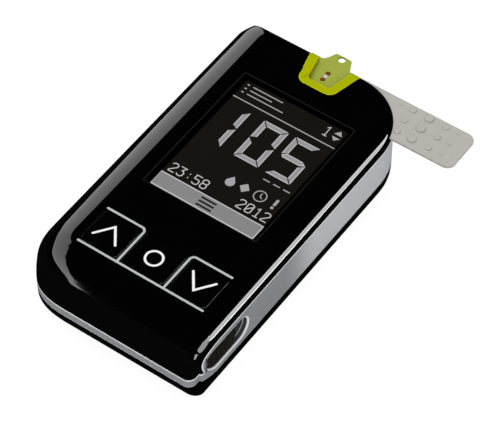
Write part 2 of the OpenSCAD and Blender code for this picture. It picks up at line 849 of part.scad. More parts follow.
// The pusher: its finger stands behind the strip's end, its pin runs in the cam slot
module strip_pusher() color("#e4e4e0") {
    finger_x = strip_left - finger_l - 0.1;
    translate([finger_x, pin_y - pusher_w / 2, pusher_z]) {
        cube([pin_x + 3 - finger_x, pusher_w, pusher_t]);
        cube([finger_l, pusher_w, strip_top - 0.2 - pusher_z]);
    }
    rod_z(cam_pin_d, rod_z0, pusher_z + eps, pin_x, pin_y);
}

module return_spring() color("#b9bcc2")
    translate([shoe_x - shoe_t / 2 - 0.05, shoe_back, panel_mid])
        rotate([-90, 0, 0])
            difference() {
                cylinder(d = spring_d - 0.2, h = spring_end - shoe_back);
                translate([0, 0, -1])
                    cylinder(d = 1.1, h = spring_end - shoe_back + 2);
            }

// ------------------------------------------------------------ batteries

nub_d = 3.8;
nub_h = 1.2;

// One cell along Y: s is 1 with the nub to the back, -1 with it to the front
module cell(s) {
    neg_y = s > 0 ? bay_y0 + contact_t + spring_reach : bay_y1 - contact_t - spring_reach;
    translate([-s * cell_x, neg_y, cell_z])
        rotate([-s * 90, 0, 0])
            rotate_extrude()
                polygon([[0, 0], [cell_d / 2 - 0.3, 0], [cell_d / 2, 0.3],
                         [cell_d / 2, cell_l - nub_h - 0.3], [cell_d / 2 - 0.3, cell_l - nub_h],
                         [nub_d / 2, cell_l - nub_h], [nub_d / 2, cell_l], [0, cell_l]]);
}

module battery_left() color("#8e8f94") cell(1);
module battery_right() color("#8e8f94") cell(-1);

contact_size = 8;
cone_r = 3.3;                           // conical contact spring, as a plain shell
cone_t = 0.65;

// A contact plate flat against the end wall, at the end e (-1 front, 1 back)
module contact_plate(x, e) {
    y = e < 0 ? bay_y0 : bay_y1 - contact_t;
    span([x - contact_size / 2, y, cell_z - contact_size / 2],
         [x + contact_size / 2, y + contact_t, cell_z + contact_size / 2]);
}

module battery_springs() color("#c7cad0")
    for (s = [-1, 1]) {
        contact_plate(-s * cell_x, -s);
        translate([-s * cell_x, s > 0 ? bay_y0 + contact_t : bay_y1 - contact_t, cell_z])
            rotate([-s * 90, 0, 0])
                rotate_extrude()
                    polygon([[cone_r - cone_t, 0], [cone_r, 0], [nub_d / 2 - 0.4, spring_reach],
                             [nub_d / 2 - 0.4 - cone_t, spring_reach]]);
    }

module battery_plates() color("#c7cad0")
    for (s = [-1, 1])
        contact_plate(-s * cell_x, s);

module battery_door() color("#101011") {
    w = bay_w + 2 * ledge - 2 * slide_gap;
    l = bay_l + 2 * ledge - 2 * slide_gap;
    difference() {
        slab(w, l, door_t - skin, 0.9, 0, bay_mid, door_sink);
        // thumb grip: three grooves across the door
        for (k = [0:2])
            span([-5, bay_y0 + 3 + 1.6 * k, -1], [5, bay_y0 + 3.7 + 1.6 * k, door_sink + 0.35]);
    }
    for (s = [-1, 1])
        span([s * cell_x - 0.6, bay_y0 + 6, door_sink + door_t - skin - eps],
             [s * cell_x + 0.6, bay_y1 - 6, wall - 0.05]);
}

module case_screws() color("#9a9da3")
    for (s = SCREWS)
        translate([s.x, s.y, screw_sink])
            difference() {
                union() {
                    cylinder(d = screw_head_d, h = screw_head_h);
                    cylinder(d = screw_d, h = board_top + 2.4 - screw_sink);
                }
                for (a = [0, 90])
                    rotate(a)
                        span([-1, -0.2, -1], [1, 0.2, 0.5]);
            }

bottom_cover();
mid_frame();
top_cover();
port_bezel();
display_window();
lcd_panel();
lcd_frame();
backlight();
lcd_connector();
key_trim();
up_key();
enter_key();
down_key();
key_domes();
main_board();
controller_chip();
buzzer();
strip_guide();
strip_contacts();
strip_handle();
strip_head();
strip_electrodes();
ejector_slider();
slider_shoe();
slider_bed();
ejector_rod();
strip_pusher();
return_spring();
battery_left();
battery_right();
battery_springs();
battery_plates();
battery_door();
case_screws();
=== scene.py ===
"""Studio picture of a pocket blood glucose meter with its test strip in the port.

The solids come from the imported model. This script gives every visible piece its finish, and
replaces the moulded shells, keys, display picture, strip and small parts with finer meshes
that keep the same places. Sizes are millimetres in the part's own frame: +X is the reading
direction, +Y runs towards the strip port and +Z is up out of the display.
"""

import logging
import math
from dataclasses import dataclass, field
from enum import Enum
from typing import Iterable, Sequence

import bpy
from mathutils import Matrix, Vector


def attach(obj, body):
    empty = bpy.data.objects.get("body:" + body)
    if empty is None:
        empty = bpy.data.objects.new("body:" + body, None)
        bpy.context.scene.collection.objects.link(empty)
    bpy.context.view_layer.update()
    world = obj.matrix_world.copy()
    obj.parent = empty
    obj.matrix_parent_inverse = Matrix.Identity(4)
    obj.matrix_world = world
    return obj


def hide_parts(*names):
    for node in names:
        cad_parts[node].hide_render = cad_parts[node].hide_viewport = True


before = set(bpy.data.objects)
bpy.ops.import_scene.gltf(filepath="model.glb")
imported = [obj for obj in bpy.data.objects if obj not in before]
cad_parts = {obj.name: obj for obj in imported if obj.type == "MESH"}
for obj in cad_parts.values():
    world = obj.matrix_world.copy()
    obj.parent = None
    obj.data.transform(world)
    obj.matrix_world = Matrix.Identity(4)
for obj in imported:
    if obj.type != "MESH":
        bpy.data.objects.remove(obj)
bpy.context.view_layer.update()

log = logging.getLogger("meter")

MM = 0.001
Pair = tuple[float, float]
Point = tuple[float, float, float]
Colour = Point
Outline = list[Pair]
Piece = bpy.types.Object


def grey(value: int) -> float:
    """Turn one 8-bit display value into a linear one."""
    v = value / 255
    return v / 12.92 if v <= 0.04045 else ((v + 0.055) / 1.055) ** 2.4


def tone(code: str) -> Colour:
    """Turn a hex display colour into a linear one."""
    return tuple(grey(int(code[i:i + 2], 16)) for i in (0, 2, 4))


# ---------------------------------------------------------------- node trees


class Shade:
    """A number socket that takes part in Python arithmetic, adding Math nodes as it goes."""

    def __init__(self, tree: bpy.types.NodeTree, socket: bpy.types.NodeSocket) -> None:
        """Wrap one output socket of a tree."""
        self.tree = tree
        self.socket = socket

    def _math(self, operation: str, *values: "Shade | float") -> "Shade":
        """Add one Math node and return its result."""
        node = self.tree.nodes.new("ShaderNodeMath")
        node.operation = operation
        for i, value in enumerate(values):
            if isinstance(value, Shade):
                self.tree.links.new(value.socket, node.inputs[i])
            else:
                node.inputs[i].default_value = float(value)
        return Shade(self.tree, node.outputs[0])

    def __add__(self, other: "Shade | float") -> "Shade":
        """Add."""
        return self._math("ADD", self, other)

    __radd__ = __add__

    def __sub__(self, other: "Shade | float") -> "Shade":
        """Subtract."""
        return self._math("SUBTRACT", self, other)

    def __rsub__(self, other: float) -> "Shade":
        """Subtract from a number."""
        return self._math("SUBTRACT", other, self)

    def __mul__(self, other: "Shade | float") -> "Shade":
        """Multiply."""
        return self._math("MULTIPLY", self, other)

    __rmul__ = __mul__

    def at_least(self, other: "Shade | float") -> "Shade":
        """Give the larger of the two."""
        return self._math("MAXIMUM", self, other)

    def step(self, low: float, high: float) -> "Shade":
        """Rise smoothly from 0 at low to 1 at high.

        Args:
            low: value where the rise begins.
            high: value where the rise ends.

        Returns:
            The eased mask.
        """
        node = self.tree.nodes.new("ShaderNodeMapRange")
        node.interpolation_type = "SMOOTHSTEP"
        self.tree.links.new(self.socket, node.inputs["Value"])
        node.inputs["From Min"].default_value = low
        node.inputs["From Max"].default_value = high
        return Shade(self.tree, node.outputs["Result"])


class Net:
    """A node tree under construction, for a material, the world, a lamp or a modifier."""

    def __init__(self, tree: bpy.types.NodeTree) -> None:
        """Take a tree and empty it."""
        self.tree = tree
        tree.nodes.clear()

    def node(self, kind: str, settings: dict | None = None, values: dict | None = None) -> bpy.types.Node:
        """Add one node.

        Args:
            kind: the node's type name.
            settings: properties set first, such as an operation.
            values: socket name or number to a constant, a socket or a Shade.

        Returns:
            The new node.
        """
        node = self.tree.nodes.new(kind)
        for name, value in (settings or {}).items():
            setattr(node, name, value)
        for name, value in (values or {}).items():
            socket = node.inputs[name]
            if isinstance(value, Shade):
                self.tree.links.new(value.socket, socket)
            elif isinstance(value, bpy.types.NodeSocket):
                self.tree.links.new(value, socket)
            elif isinstance(value, tuple) and len(value) == 3 and len(socket.default_value) == 4:
                socket.default_value = (*value, 1.0)
            else:
                socket.default_value = value
        return node

    def number(self, node: bpy.types.Node, output: str | int = 0) -> Shade:
        """Wrap a node's number output."""
        return Shade(self.tree, node.outputs[output])

    def place(self) -> bpy.types.NodeSocket:
        """Give the piece's own coordinates."""
        return self.node("ShaderNodeTexCoord").outputs["Object"]

    def axis(self, name: str) -> Shade:
        """Give one of the piece's own coordinates, in metres."""
        split = self.node("ShaderNodeSeparateXYZ", values={0: self.place()})
        return self.number(split, name)

    def noise(self, scale: float, detail: float = 2.0) -> Shade:
        """Give a cloudy value from 0 to 1 on the piece's own coordinates."""
        node = self.node("ShaderNodeTexNoise", values={
            "Vector": self.place(), "Scale": scale, "Detail": detail})
        return self.number(node, "Fac")

    def blend(self, mask: Shade, first: Colour, second: Colour) -> bpy.types.NodeSocket:
        """Mix two colours by a mask."""
        mix = self.node("ShaderNodeMix", {"data_type": "RGBA"}, {"Factor": mask})
        mix.inputs[6].default_value = (*first, 1.0)
        mix.inputs[7].default_value = (*second, 1.0)
        return mix.outputs[2]

    def bump(self, height: Shade, strength: float, distance: float) -> bpy.types.NodeSocket:
        """Turn a height into a normal."""
        node = self.node("ShaderNodeBump", values={"Height": height})
        node.inputs["Strength"].default_value = strength
        node.inputs["Distance"].default_value = distance
        return node.outputs["Normal"]


# ---------------------------------------------------------------- finishes


CLOUD_SCALE = 90.0
CLOUD_RISE = (0.3, 0.7)
GLOSS_SCALE = 420.0
GLOSS_SPREAD = 0.08
GRAIN_DEPTH = 0.00005


def fresh_material(name: str) -> tuple[bpy.types.Material, Net]:
    """Make an empty material and the net that fills it."""
    material = bpy.data.materials.new(name)
    material.use_nodes = True
    return material, Net(material.node_tree)


@dataclass(frozen=True)
class Finish:
    """A plain moulded or painted surface with a faint cloud in its colour and gloss.

    Attributes:
        name: the material's name.
        colour: linear base colour.
        roughness: middle roughness.
        metallic: share of metal.
        specular: specular level, 0 where the very bright studio cards would haze what is seen.
        coat: weight of the clear coat.
        cloud: how far the colour varies, as a share.
        grain: scale of the fine surface grain, per metre.
        relief: strength of that grain.
        glow: own light, for display pieces; it stands for the backlight and is also painted light that keeps
            them evenly bright.
    """

    name: str
    colour: Colour
    roughness: float = 0.5
    metallic: float = 0.0
    specular: float = 0.0
    coat: float = 0.0
    cloud: float = 0.06
    grain: float = 1800.0
    relief: float = 0.05
    glow: float = 0.0

    def make(self) -> bpy.types.Material:
        """Build the material."""
        material, net = fresh_material(self.name + "_finish")
        dark = tuple(c * (1 - self.cloud) for c in self.colour)
        light = tuple(min(1.0, c * (1 + self.cloud)) for c in self.colour)
        shade = net.blend(net.noise(CLOUD_SCALE).step(*CLOUD_RISE), dark, light)
        body = net.node("ShaderNodeBsdfPrincipled", values={
            "Base Color": (0.0, 0.0, 0.0) if self.glow else shade,
            "Metallic": self.metallic,
            "Roughness": net.noise(GLOSS_SCALE) * GLOSS_SPREAD + (self.roughness - GLOSS_SPREAD / 2),
            "Specular IOR Level": self.specular,
            "Coat Weight": self.coat,
            "Coat Roughness": 0.06,
            "Normal": net.bump(net.noise(self.grain, 3.0), self.relief, GRAIN_DEPTH),
        })
        if self.glow:
            net.tree.links.new(shade, body.inputs["Emission Color"])
            body.inputs["Emission Strength"].default_value = self.glow
        self.dress(net, body)
        net.node("ShaderNodeOutputMaterial", values={"Surface": body.outputs[0]})
        return material

    def dress(self, net: Net, body: bpy.types.Node) -> None:
        """Add what a finish has beyond the common ones. A plain finish has nothing."""


@dataclass(frozen=True)
class PianoBlack(Finish):
    """Polished black plastic: a black body under a thin even gloss.

    Attributes:
        sheen: share of light that the polished skin throws back.
        polish: roughness of that skin.
    """

    sheen: float = 0.0015
    polish: float = 0.03

    def make(self) -> bpy.types.Material:
        """Build the material as a black body mixed with a mirror skin."""
        material, net = fresh_material(self.name + "_finish")
        wave = net.bump(net.noise(140.0, 1.0), 0.06, 0.00002)
        paler = tuple(c * 1.3 for c in self.colour)
        body = net.node("ShaderNodeBsdfPrincipled", values={
            "Base Color": net.blend(net.noise(CLOUD_SCALE).step(*CLOUD_RISE), self.colour, paler),
            "Roughness": 0.6, "Specular IOR Level": 0.0})
        skin = net.node("ShaderNodeBsdfPrincipled", values={
            "Base Color": (0.95, 0.95, 0.96), "Metallic": 1.0,
            "Roughness": net.noise(300.0) * 0.02 + (self.polish - 0.01), "Normal": wave})
        mix = net.node("ShaderNodeMixShader", values={0: self.sheen, 1: body.outputs[0], 2: skin.outputs[0]})
        net.node("ShaderNodeOutputMaterial", values={"Surface": mix.outputs[0]})
        return material


@dataclass(frozen=True)
class SilverPaint(Finish):
    """Fine metallic paint, with a painted reflection that makes it a shade brighter towards the port end of the
    right wall.

    Attributes:
        near: tones of the flakes at the thumb end, the darker end of the painted reflection.
        far: tones of the flakes at the port end, lightened by the painted reflection.
        painted_reflection_fade: places along Y in metres between which the paint turns from near to far, a
            painted reflection.
    """

    near: tuple[Colour, Colour] = (tone("97999D"), tone("A1A3A7"))
    far: tuple[Colour, Colour] = (tone("D0D1D4"), tone("DBDCDF"))
    painted_reflection_fade: Pair = (-0.012, 0.004)

    def dress(self, net: Net, body: bpy.types.Node) -> None:
        """Paint a reflection along the wall as a brightening of the colour, and scatter the flakes."""
        flake = net.noise(6000.0, 1.0).step(0.35, 0.65)
        # painted reflection: the colour lightens from the near tones to the far tones along Y
        mix = net.node("ShaderNodeMix", {"data_type": "RGBA"}, {
            "Factor": net.axis("Y").step(*self.painted_reflection_fade),
            6: net.blend(flake, *self.near), 7: net.blend(flake, *self.far)})
        net.tree.links.new(mix.outputs[2], body.inputs["Base Color"])


@dataclass(frozen=True)
class WindowGlass(Finish):
    """Clear display window.

    Attributes:
        tint: how much of the view the glass covers.
    """

    tint: float = 0.02

    def dress(self, net: Net, body: bpy.types.Node) -> None:
        """Let the display show through."""
        net.tree.links.new((net.noise(60.0) * 0.01 + self.tint).socket, body.inputs["Alpha"])


@dataclass(frozen=True)
class StripFilm(Finish):
    """Milky strip film with faint pressing marks along its length."""

    def dress(self, net: Net, body: bpy.types.Node) -> None:
        """Stretch a fine streak along X into the colour."""
        stretch = net.node("ShaderNodeMapping", values={"Vector": net.place(), "Scale": (300.0, 600.0, 300.0)})
        streak = net.number(net.node("ShaderNodeTexNoise", values={
            "Vector": stretch.outputs[0], "Scale": 1.0, "Detail": 2.0}), "Fac")
        dark, light = (tuple(c * k for c in self.colour) for k in (0.98, 1.02))
        net.tree.links.new(net.blend(streak.step(*CLOUD_RISE), dark, light), body.inputs["Base Color"])


def self_lit(name: str, code: str, cloud: float = 0.02) -> Finish:
    """Give the finish of one display piece, which shows its colour by its own light: backlight, and painted
    light that keeps it evenly bright, free of the shade of its recess.
    """
    return Finish(name, tone(code), glow=1.0, cloud=cloud, relief=0.0)


class Look(Enum):
    """The finishes on the meter, by what they are on."""

    CASE = PianoBlack("piano_black", (0.0004, 0.0004, 0.00045))
    KEY = PianoBlack("key_black", (0.0005, 0.0005, 0.0006))
    # the silver paint carries a painted reflection that lightens it towards the port end
    FRAME = SilverPaint("silver_paint", tone("A0A1A5"), roughness=0.4, relief=0.03)
    # near white on the frame's rounded edges: a painted highlight, a lit copy of the silver paint
    FRAME_PAINTED_HIGHLIGHT = Finish("silver_edge_painted_highlight", tone("FCFCFD"), roughness=0.35, cloud=0.01)
    WINDOW = WindowGlass("display_glass", (0.002, 0.002, 0.002), roughness=0.1, relief=0.0)
    LINE = Finish("printed_line", tone("C4C6C6"), cloud=0.03)
    EDGE_LINE = Finish("window_edge", tone("2A2829"), cloud=0.05)
    LEGEND = Finish("white_legend", tone("FAFAFA"), cloud=0.01)
    LIME = Finish("lime_moulding", tone("B0B906"), cloud=0.015)
    # lighter lime on the bezel's rounded edges: a painted highlight, a lit copy of the lime moulding
    LIME_PAINTED_HIGHLIGHT = Finish("lime_edge_painted_highlight", tone("E6E600"), roughness=0.45, cloud=0.01)
    STRIP = StripFilm("strip_film", tone("BDBCB5"))
    STRIP_HEAD = StripFilm("strip_head_film", tone("A6B04A"))
    DISC = Finish("electrode", tone("6E4218"), cloud=0.2)
    PALE = Finish("pale_track", tone("C9CBDD"))
    RUBBER = Finish("thumb_rubber", tone("262521"), roughness=0.65, grain=5200.0, relief=0.2)
    GUIDE = Finish("inner_dark_plastic", tone("46474B"), roughness=0.6, relief=0.12)
    # the display pieces below glow: partly backlight, partly painted light that keeps the picture free of lamp
    # shading and of its recess's shade
    PANEL = self_lit("lcd_ground", "171612", 0.03)
    SEGMENT = self_lit("lcd_segment", "9A999A")
    SEGMENT_RIM = self_lit("lcd_rim", "C6C5C6")
    SIGN = self_lit("lcd_sign", "A9A8A9")
    BAR = self_lit("lcd_bar", "8A8A8A")
    INK = self_lit("lcd_ink", "1A1A18")
    WHITE = Finish("white_moulding", tone("E4E4E0"), specular=0.5, relief=0.1)
    DARK = Finish("black_moulding", tone("202022"), specular=0.5, relief=0.12)
    STEEL = Finish("spring_steel", tone("C8CACE"), roughness=0.25, metallic=1.0, specular=0.5, cloud=0.1)
    GOLD = Finish("plated_contact", tone("D8B45A"), roughness=0.22, metallic=1.0, specular=0.5)
    BOARD = Finish("solder_mask", tone("1F6B3A"), roughness=0.4, specular=0.5, coat=0.4, cloud=0.2)
    CELL = Finish("cell_sleeve", tone("9A9CA2"), roughness=0.3, metallic=0.8, specular=0.5, cloud=0.12)

    def material(self) -> bpy.types.Material:
        """Give the material, made on first use."""
        return bpy.data.materials.get(self.value.name + "_finish") or self.value.make()


# ---------------------------------------------------------------- mesh tools


class Mould:
    """Mesh work shared by the sub-assemblies. All sizes are millimetres."""

    @staticmethod
    def piece(name: str, points: Sequence[Sequence[float]], faces: Sequence[Sequence[int]]) -> Piece:
        """Make an object from points and faces.

        Args:
            name: the object's name.
            points: places in millimetres.
            faces: corner numbers of each face.

        Returns:
            The new object, at the origin.
        """
        mesh = bpy.data.meshes.new(name)
        mesh.from_pydata([[c * MM for c in p] for p in points], [], faces)
        mesh.validate()
        piece = bpy.data.objects.new(name, mesh)
        bpy.context.scene.collection.objects.link(piece)
        return piece

    @classmethod
    def loft(cls, name: str, rings: Sequence[Sequence[Sequence[float]]]) -> Piece:
        """Skin closed rings of equal length, given anticlockwise from the bottom up, and cap both ends."""
        n = len(rings[0])
        points = [p for ring in rings for p in ring]
        faces: list[list[int]] = [list(range(n))[::-1]]
        for k in range(len(rings) - 1):
            a, b = k * n, (k + 1) * n
            faces += [[a + i, a + (i + 1) % n, b + (i + 1) % n, b + i] for i in range(n)]
        faces.append([(len(rings) - 1) * n + i for i in range(n)])
        return cls.piece(name, points, faces)

    @classmethod
    def prism(cls, name: str, outline: Sequence[Pair], z0: float, z1: float) -> Piece:
        """Stand an anticlockwise outline up from z0 to z1."""
        return cls.loft(name, [[(x, y, z) for x, y in outline] for z in (z0, z1)])

    @classmethod
    def box(cls, name: str, low: Sequence[float], high: Sequence[float]) -> Piece:
        """Make a block between two corners."""
        return cls.prism(name, [(low[0], low[1]), (high[0], low[1]), (high[0], high[1]), (low[0], high[1])],
                         low[2], high[2])

    @staticmethod
    def grown(outline: Sequence[Pair], by: float) -> Outline:
        """Move an anticlockwise outline outwards, or inwards where by is negative."""
        n = len(outline)
        out = []
        for i in range(n):
            p, q, r = outline[i - 1], outline[i], outline[(i + 1) % n]
            d1 = Vector((q[0] - p[0], q[1] - p[1]))
            d2 = Vector((r[0] - q[0], r[1] - q[1]))
            if d1.length < 1e-9 or d2.length < 1e-9:
                out.append(q)
                continue
            n1 = Vector((d1.y, -d1.x)).normalized()
            n2 = Vector((d2.y, -d2.x)).normalized()
            m = (n1 + n2) / max(0.35, 1 + n1.dot(n2))
            out.append((q[0] + m.x * by, q[1] + m.y * by))
        return out

    @classmethod
    def plate(cls, name: str, outline: Sequence[Pair], z0: float, z1: float, top: float = 0.0,
              bottom: float = 0.0, steps: int = 4) -> Piece:
        """Make a plate whose top and bottom edges are rounded.

        Args:
            name: the object's name.
            outline: anticlockwise outline.
            z0: height of its underside.
            z1: height of its top.
            top: radius of the top edge.
            bottom: radius of the bottom edge.
            steps: facets round each edge.

        Returns:
            The closed plate.
        """
        rings = []
        for k in range(steps + 1 if bottom else 1):
            a = math.pi / 2 * k / steps
            inset = bottom * (1 - math.sin(a))
            rings.append([(x, y, z0 + bottom * (1 - math.cos(a))) for x, y in cls.grown(outline, -inset)])
        for k in range(steps + 1 if top else 1):
            a = math.pi / 2 * k / steps
            inset = top * (1 - math.cos(a))
            rings.append([(x, y, z1 - top * (1 - math.sin(a))) for x, y in cls.grown(outline, -inset)])
        return cls.loft(name, rings)

    @staticmethod
    def arc(x: float, y: float, r: float, turns: Iterable[float]) -> Outline:
        """Give the points of a circle at the given angles in radians."""
        return [(x + r * math.cos(a), y + r * math.sin(a)) for a in turns]

    @classmethod
    def rounded(cls, w: float, l: float, r: float, x: float, y: float, steps: int = 8,
                corners: Sequence[tuple[int, int, int]] = ((1, -1, -90), (1, 1, 0), (-1, 1, 90), (-1, -1, 180)),
                ) -> Outline:
        """Give an upright rectangle's outline with round corners.

        Args:
            w: width along X.
            l: length along Y.
            r: radius of the corners.
            x: middle along X.
            y: middle along Y.
            steps: facets round each corner.
            corners: side along X, side along Y and first angle of each corner that is drawn.

        Returns:
            The outline, anticlockwise.
        """
        out = []
        for side, end, start in corners:
            turns = [math.radians(start + 90 * k / steps) for k in range(steps + 1)]
            out += cls.arc(x + side * (w / 2 - r), y + end * (l / 2 - r), r, turns)
        return out

    @classmethod
    def circle(cls, r: float, x: float, y: float, steps: int = 48) -> Outline:
        """Give a circle's outline."""
        return cls.arc(x, y, r, [2 * math.pi * k / steps for k in range(steps)])

    @classmethod
    def stroke(cls, path: Sequence[Pair], width: float, steps: int = 8) -> Outline:
        """Give the outline of a line with round ends drawn along a path."""
        h = width / 2
        points = [Vector(p) for p in path]
        sides: tuple[Outline, Outline] = ([], [])
        for i, p in enumerate(points):
            before = (p - points[i - 1]).normalized() if i else (points[1] - p).normalized()
            after = (points[i + 1] - p).normalized() if i + 1 < len(points) else before
            n1, n2 = Vector((before.y, -before.x)), Vector((after.y, -after.x))
            m = (n1 + n2) / max(0.5, 1 + n1.dot(n2))
            sides[0].append((p.x + m.x * h, p.y + m.y * h))
            sides[1].append((p.x - m.x * h, p.y - m.y * h))
        out: Outline = list(sides[0])
        for end, sign in ((points[-1], 1), (points[0], -1)):
            other = points[-2] if sign > 0 else points[1]
            along = (end - other).normalized()
            base = math.atan2(along.y, along.x) - math.pi / 2
            out += cls.arc(end.x, end.y, h, [base + math.pi * k / steps for k in range(1, steps)])
            if sign > 0:
                out += sides[1][::-1]
        return out

    @staticmethod
    def settle(piece: Piece) -> Piece:
        """Replace a piece's mesh with what its modifiers make of it."""
        graph = bpy.context.evaluated_depsgraph_get()
        mesh = bpy.data.meshes.new_from_object(piece.evaluated_get(graph))
        piece.modifiers.clear()
        piece.data = mesh
        return piece

    @classmethod
    def carve(cls, piece: Piece, tools: Iterable[Piece], how: str = "DIFFERENCE") -> Piece:
        """Cut, join or intersect a piece with tools, one after another, and remove the tools.

        Args:
            piece: the piece that is worked on.
            tools: closed solids.
            how: DIFFERENCE, UNION or INTERSECT.

        Returns:
            The same piece.
        """
        for tool in tools:
            step = piece.modifiers.new("carve", "BOOLEAN")
            step.operation = how
            step.solver = "EXACT"
            step.object = tool
            cls.settle(piece)
            bpy.data.objects.remove(tool)
        return piece

    @classmethod
    def soften(cls, piece: Piece, width: float, steps: int = 2, angle: float = 50.0,
               looks: Sequence[Look] = ()) -> Piece:
        """Round the sharp edges of a piece.

        Args:
            piece: the piece.
            width: width of the rounding in millimetres.
            steps: facets round each edge.
            angle: edges sharper than this are rounded.
            looks: finishes by face number, the second of which goes on the rounded edges.

        Returns:
            The same piece.
        """
        for look in looks:
            piece.data.materials.append(look.material())
        step = piece.modifiers.new("soften", "BEVEL")
        if looks:
            step.material = 1
        step.width = width * MM
        step.segments = steps
        step.limit_method = "ANGLE"
        step.angle_limit = math.radians(angle)
        step.use_clamp_overlap = not looks
        return cls.settle(piece)

    @classmethod
    def polish(cls, piece: Piece, angle: float = 32.0) -> Piece:
        """Shade a piece smoothly but for its sharp edges, with flat faces kept flat."""
        piece.data.shade_smooth()
        piece.data.set_sharp_from_angle(angle=math.radians(angle))
        step = piece.modifiers.new("even", "WEIGHTED_NORMAL")
        step.keep_sharp = True
        step.weight = 100
        return cls.settle(piece)

    @classmethod
    def done(cls, piece: Piece, look: Look, body: str, slot: str, replaces: Sequence[str] = (),
             angle: float = 32.0) -> Piece:
        """Finish a piece and hand it to its body.

        Args:
            piece: the piece, in place.
            look: its finish, where it has no two finishes yet.
            body: the moving body that carries it.
            slot: the record's material slot; not used.
            replaces: nodes that it stands for.
            angle: edges sharper than this stay sharp.

        Returns:
            The same piece.
        """
        cls.polish(piece, angle)
        if len(piece.data.materials) < 2:
            piece.data.materials.clear()
            piece.data.materials.append(look.material())
        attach(piece, body)
        if replaces:
            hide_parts(*replaces)
        log.info("%s: %d faces", piece.name, len(piece.data.polygons))
        return piece

    @classmethod
    def merged(cls, name: str, pieces: Sequence[Piece]) -> Piece:
        """Join several pieces into one object without changing their faces."""
        points: list[Point] = []
        faces: list[list[int]] = []
        for piece in pieces:
            start = len(points)
            points += [tuple(c / MM for c in v.co) for v in piece.data.vertices]
            faces += [[start + i for i in p.vertices] for p in piece.data.polygons]
            bpy.data.objects.remove(piece)
        return cls.piece(name, points, faces)


def spread(name: str, places: Sequence[Sequence[float]], sizes: Sequence[float], model: Piece,
           look: Look) -> Piece:
    """Repeat a model at places with a Geometry Nodes tree, and turn the result into a mesh.

    Args:
        name: name of the resulting piece.
        places: where each copy stands, in millimetres.
        sizes: scale of each copy.
        model: the piece that is repeated. It is removed.
        look: finish set by the tree.

    Returns:
        The plain mesh piece.
    """
    piece = Mould.piece(name, places, [])
    sized = piece.data.attributes.new("size", "FLOAT", "POINT")
    for i, size in enumerate(sizes):
        sized.data[i].value = size
    tree = bpy.data.node_groups.new(name + "_spread", "GeometryNodeTree")
    sockets = (("Geometry", "Geometry"), ("Model", "Object"), ("Finish", "Material"), ("Scale", "Float"))
    for title, kind in sockets:
        made = tree.interface.new_socket(title, in_out="INPUT", socket_type="NodeSocket" + kind)
    made.default_value = 1.0
    tree.interface.new_socket("Geometry", in_out="OUTPUT", socket_type="NodeSocketGeometry")
    net = Net(tree)
    given = net.node("NodeGroupInput")
    item = net.node("GeometryNodeObjectInfo", values={"Object": given.outputs["Model"]})
    size = net.node("GeometryNodeInputNamedAttribute", {"data_type": "FLOAT"}, {"Name": "size"})
    scale = net.number(size, "Attribute") * Shade(tree, given.outputs["Scale"])
    copies = net.node("GeometryNodeInstanceOnPoints", values={
        "Points": given.outputs["Geometry"], "Instance": item.outputs["Geometry"], "Scale": scale})
    real = net.node("GeometryNodeRealizeInstances", values={"Geometry": copies.outputs[0]})
    painted = net.node("GeometryNodeSetMaterial", values={
        "Geometry": real.outputs[0], "Material": given.outputs["Finish"]})
    net.node("NodeGroupOutput", values={"Geometry": painted.outputs[0]})
    step = piece.modifiers.new("spread", "NODES")
    step.node_group = tree
    given_values = {"Model": model, "Finish": look.material()}
    for socket in tree.interface.items_tree:
        if socket.in_out == "INPUT" and socket.name in given_values:
            step[socket.identifier] = given_values[socket.name]
    Mould.settle(piece)
    bpy.data.objects.remove(model)
    return piece


# ---------------------------------------------------------------- case


